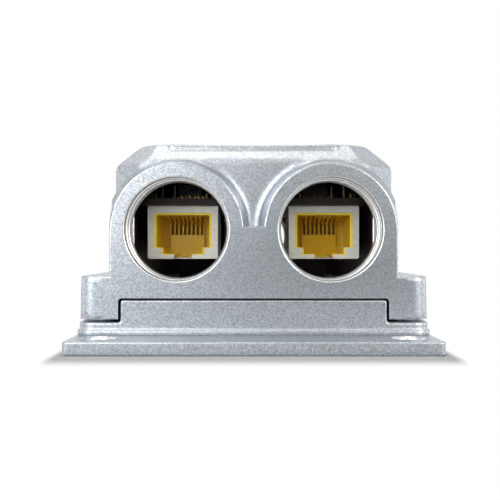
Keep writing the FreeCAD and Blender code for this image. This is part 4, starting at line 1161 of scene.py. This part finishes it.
def background_ray(sheet: Sheet) -> Socket:
    """Mask the rays that show the background: camera, glossy and transmission rays.

    Args:
        sheet: The sheet of the material or the world.

    Returns:
        The mask's socket.
    """
    path = sheet.add("ShaderNodeLightPath").outputs
    seen = sheet.math("MAXIMUM", path["Is Camera Ray"], path["Is Glossy Ray"])
    return sheet.math("MAXIMUM", seen, path["Is Transmission Ray"])


def stage_panel(name: str, edge: list[tuple[float, float]], half: float,
                material: bpy.types.Material) -> bpy.types.Object:
    """Add one flat or bent sheet of the studio.

    Args:
        name: The piece's name.
        edge: The line of the sheet's side edge, as heights over Y.
        half: Half its width along X.
        material: Its material.

    Returns:
        The piece.
    """
    corners = [(side * half, y, z) for y, z in edge for side in (1, -1)]
    faces = [(step, step + 1, step + 3, step + 2) for step in range(0, len(corners) - 2, 2)]
    mesh = bpy.data.meshes.new(name)
    mesh.from_pydata(corners, [], faces)
    mesh.materials.append(material)
    panel = bpy.data.objects.new(name, mesh)
    bpy.context.scene.collection.objects.link(panel)
    return panel


@dataclass
class Studio:
    """The pale floor, the white background, the grey card, the lamps and the camera."""

    camera_place: Point = (-0.00076, -0.208, 0.0204)
    camera_reach: tuple[float, float] = (0.005, 20.0)
    focal_pixels: float = 776.0
    frame_pixels: float = 500.0
    sensor: float = 36.0
    floor_half: float = 3.0
    floor_drop: float = 0.02 * MM
    floor_grey: float = 0.55
    shade_start: float = 0.003
    shade_end: float = 0.014
    side_squeeze: float = 5.0
    card_start: float = 0.12
    card_distance: float = 0.75
    card_half: float = 0.85
    card_top: float = 0.8
    card_tones: tuple[float, ...] = (4.1, 1.3, 0.0, 0.15, 1.4)
    card_tint: Colour = (0.86, 0.94, 1.0)
    card_rise: float = 1.0 * MM
    ambient: float = 0.08
    lamps: tuple[SoftLight, ...] = (
        SoftLight("key_light", (-0.14, -0.33, 0.16), 0.28, 0.28, 1.8),
        SoftLight("top_light", (-0.15, 0.05, 0.5), 0.3, 0.3, 1.6),
        SoftLight("top_fill", (0.1, 0.03, 0.5), 0.25, 0.3, 1.1),
        SoftLight("front_high", (0.28, -0.55, 0.23), 0.36, 0.18, 3.5),
        SoftLight("right_light", (0.3, -0.25, 0.13), 0.22, 0.22, 2.7),
        SoftLight("left_strip", (-0.365, 0.03, 0.03), 0.16, 0.05, 1.4),
        SoftLight("right_strip", (0.365, 0.03, 0.03), 0.16, 0.05, 2.2),
    )

    def build(self) -> None:
        """Set up the whole studio."""
        self.lay_floor()
        self.stand_card()
        for lamp in self.lamps:
            lamp.build()
        self.surround()
        self.stand_camera()
        bpy.context.scene.view_settings.view_transform = "Standard"
        LOG.info("set up the studio with %d lamps", len(self.lamps))

    def lay_floor(self) -> None:
        """Lay a pale floor that turns into the white background a little way off the plate."""
        sheet = Surface("pale_floor")
        matt = sheet.add("ShaderNodeBsdfDiffuse", {"Color": rgba((self.floor_grey,) * 3)})
        white = sheet.add("ShaderNodeEmission", {"Strength": 1.0})
        folded = sheet.vector("ABSOLUTE", sheet.place).outputs[0]
        beyond = sheet.vector("SUBTRACT", folded, (CAD_BOX[1][0], CAD_BOX[1][1], 0.0)).outputs[0]
        outside = sheet.vector("MAXIMUM", beyond, (0.0, 0.0, 0.0)).outputs[0]
        squeezed = sheet.vector("MULTIPLY", outside, (self.side_squeeze, 1.0, 1.0)).outputs[0]
        away = sheet.vector("LENGTH", squeezed).outputs[1]
        fade = sheet.add("ShaderNodeMapRange", {0: away, 1: self.shade_start, 2: self.shade_end},
                         interpolation_type="SMOOTHSTEP").outputs[0]
        mixed = sheet.add("ShaderNodeMixShader", {0: sheet.both(fade, background_ray(sheet)),
                                                  1: matt.outputs[0], 2: white.outputs[0]})
        sheet.show(mixed.outputs[0])
        edge = [(self.floor_half, -self.floor_drop), (-self.floor_half, -self.floor_drop)]
        stage_panel("studio_floor", edge, self.floor_half, sheet.material)

    def stand_card(self) -> None:
        """Lay a grey card under the camera, bent up behind it, that the flat faces reflect."""
        sheet = Surface("grey_card")
        ends = {0: sheet.split_place()[0], 1: -self.card_half / 2, 2: self.card_half / 2}
        across = sheet.add("ShaderNodeMapRange", ends).outputs[0]
        glow = sheet.add("ShaderNodeValToRGB", {0: across})
        stops = glow.color_ramp.elements
        for step, tone in enumerate(self.card_tones):
            share = step / (len(self.card_tones) - 1)
            stop = stops[step] if step < len(stops) else stops.new(share)
            stop.position = share
            stop.color = rgba(tuple(tone * part for part in self.card_tint))
        lit = sheet.add("ShaderNodeEmission", {"Color": glow.outputs[0], "Strength": 1.0})
        sheet.show(lit.outputs[0])
        edge = [(-self.card_start, self.card_rise), (-self.card_distance, self.card_rise),
                (-self.card_distance, self.card_top)]
        card = stage_panel("grey_card", edge, self.card_half, sheet.material)
        card.visible_camera = False
        card.visible_shadow = False

    def surround(self) -> None:
        """Set the world: dim light, and a white background where it shows."""
        world = bpy.data.worlds.new("studio_world")
        world.use_nodes = True
        world.node_tree.nodes.clear()
        sheet = Sheet(world.node_tree)
        soft = sheet.add("ShaderNodeBackground", {"Color": (1.0, 1.0, 1.0, 1.0), "Strength": self.ambient})
        white = sheet.add("ShaderNodeBackground", {"Color": (1.0, 1.0, 1.0, 1.0), "Strength": 1.0})
        mixed = sheet.add("ShaderNodeMixShader", {0: background_ray(sheet), 1: soft.outputs[0],
                                                  2: white.outputs[0]})
        sheet.add("ShaderNodeOutputWorld", {0: mixed.outputs[0]})
        bpy.context.scene.world = world

    def stand_camera(self) -> None:
        """Stand the camera level in front of the two output ports."""
        data = bpy.data.cameras.new("camera")
        data.sensor_width = self.sensor
        data.lens = self.focal_pixels / self.frame_pixels * self.sensor
        data.clip_start, data.clip_end = self.camera_reach
        camera = bpy.data.objects.new("camera", data)
        bpy.context.scene.collection.objects.link(camera)
        camera.location = self.camera_place
        camera.rotation_euler = (math.pi / 2, 0.0, 0.0)
        bpy.context.scene.camera = camera


def main() -> None:
    """Build the studio and every sub-assembly."""
    logging.basicConfig(level=logging.INFO, format="%(name)s: %(message)s")
    Studio().build()
    assemblies = [Casings(), PortThreads(), *(PortJack(port) for port in PORT_NAMES), MainBoard(),
                  EarthTerminal()]
    for assembly in assemblies:
        LOG.info("building %s", assembly)
        assembly.build()


if __name__ == "__main__":
    main()
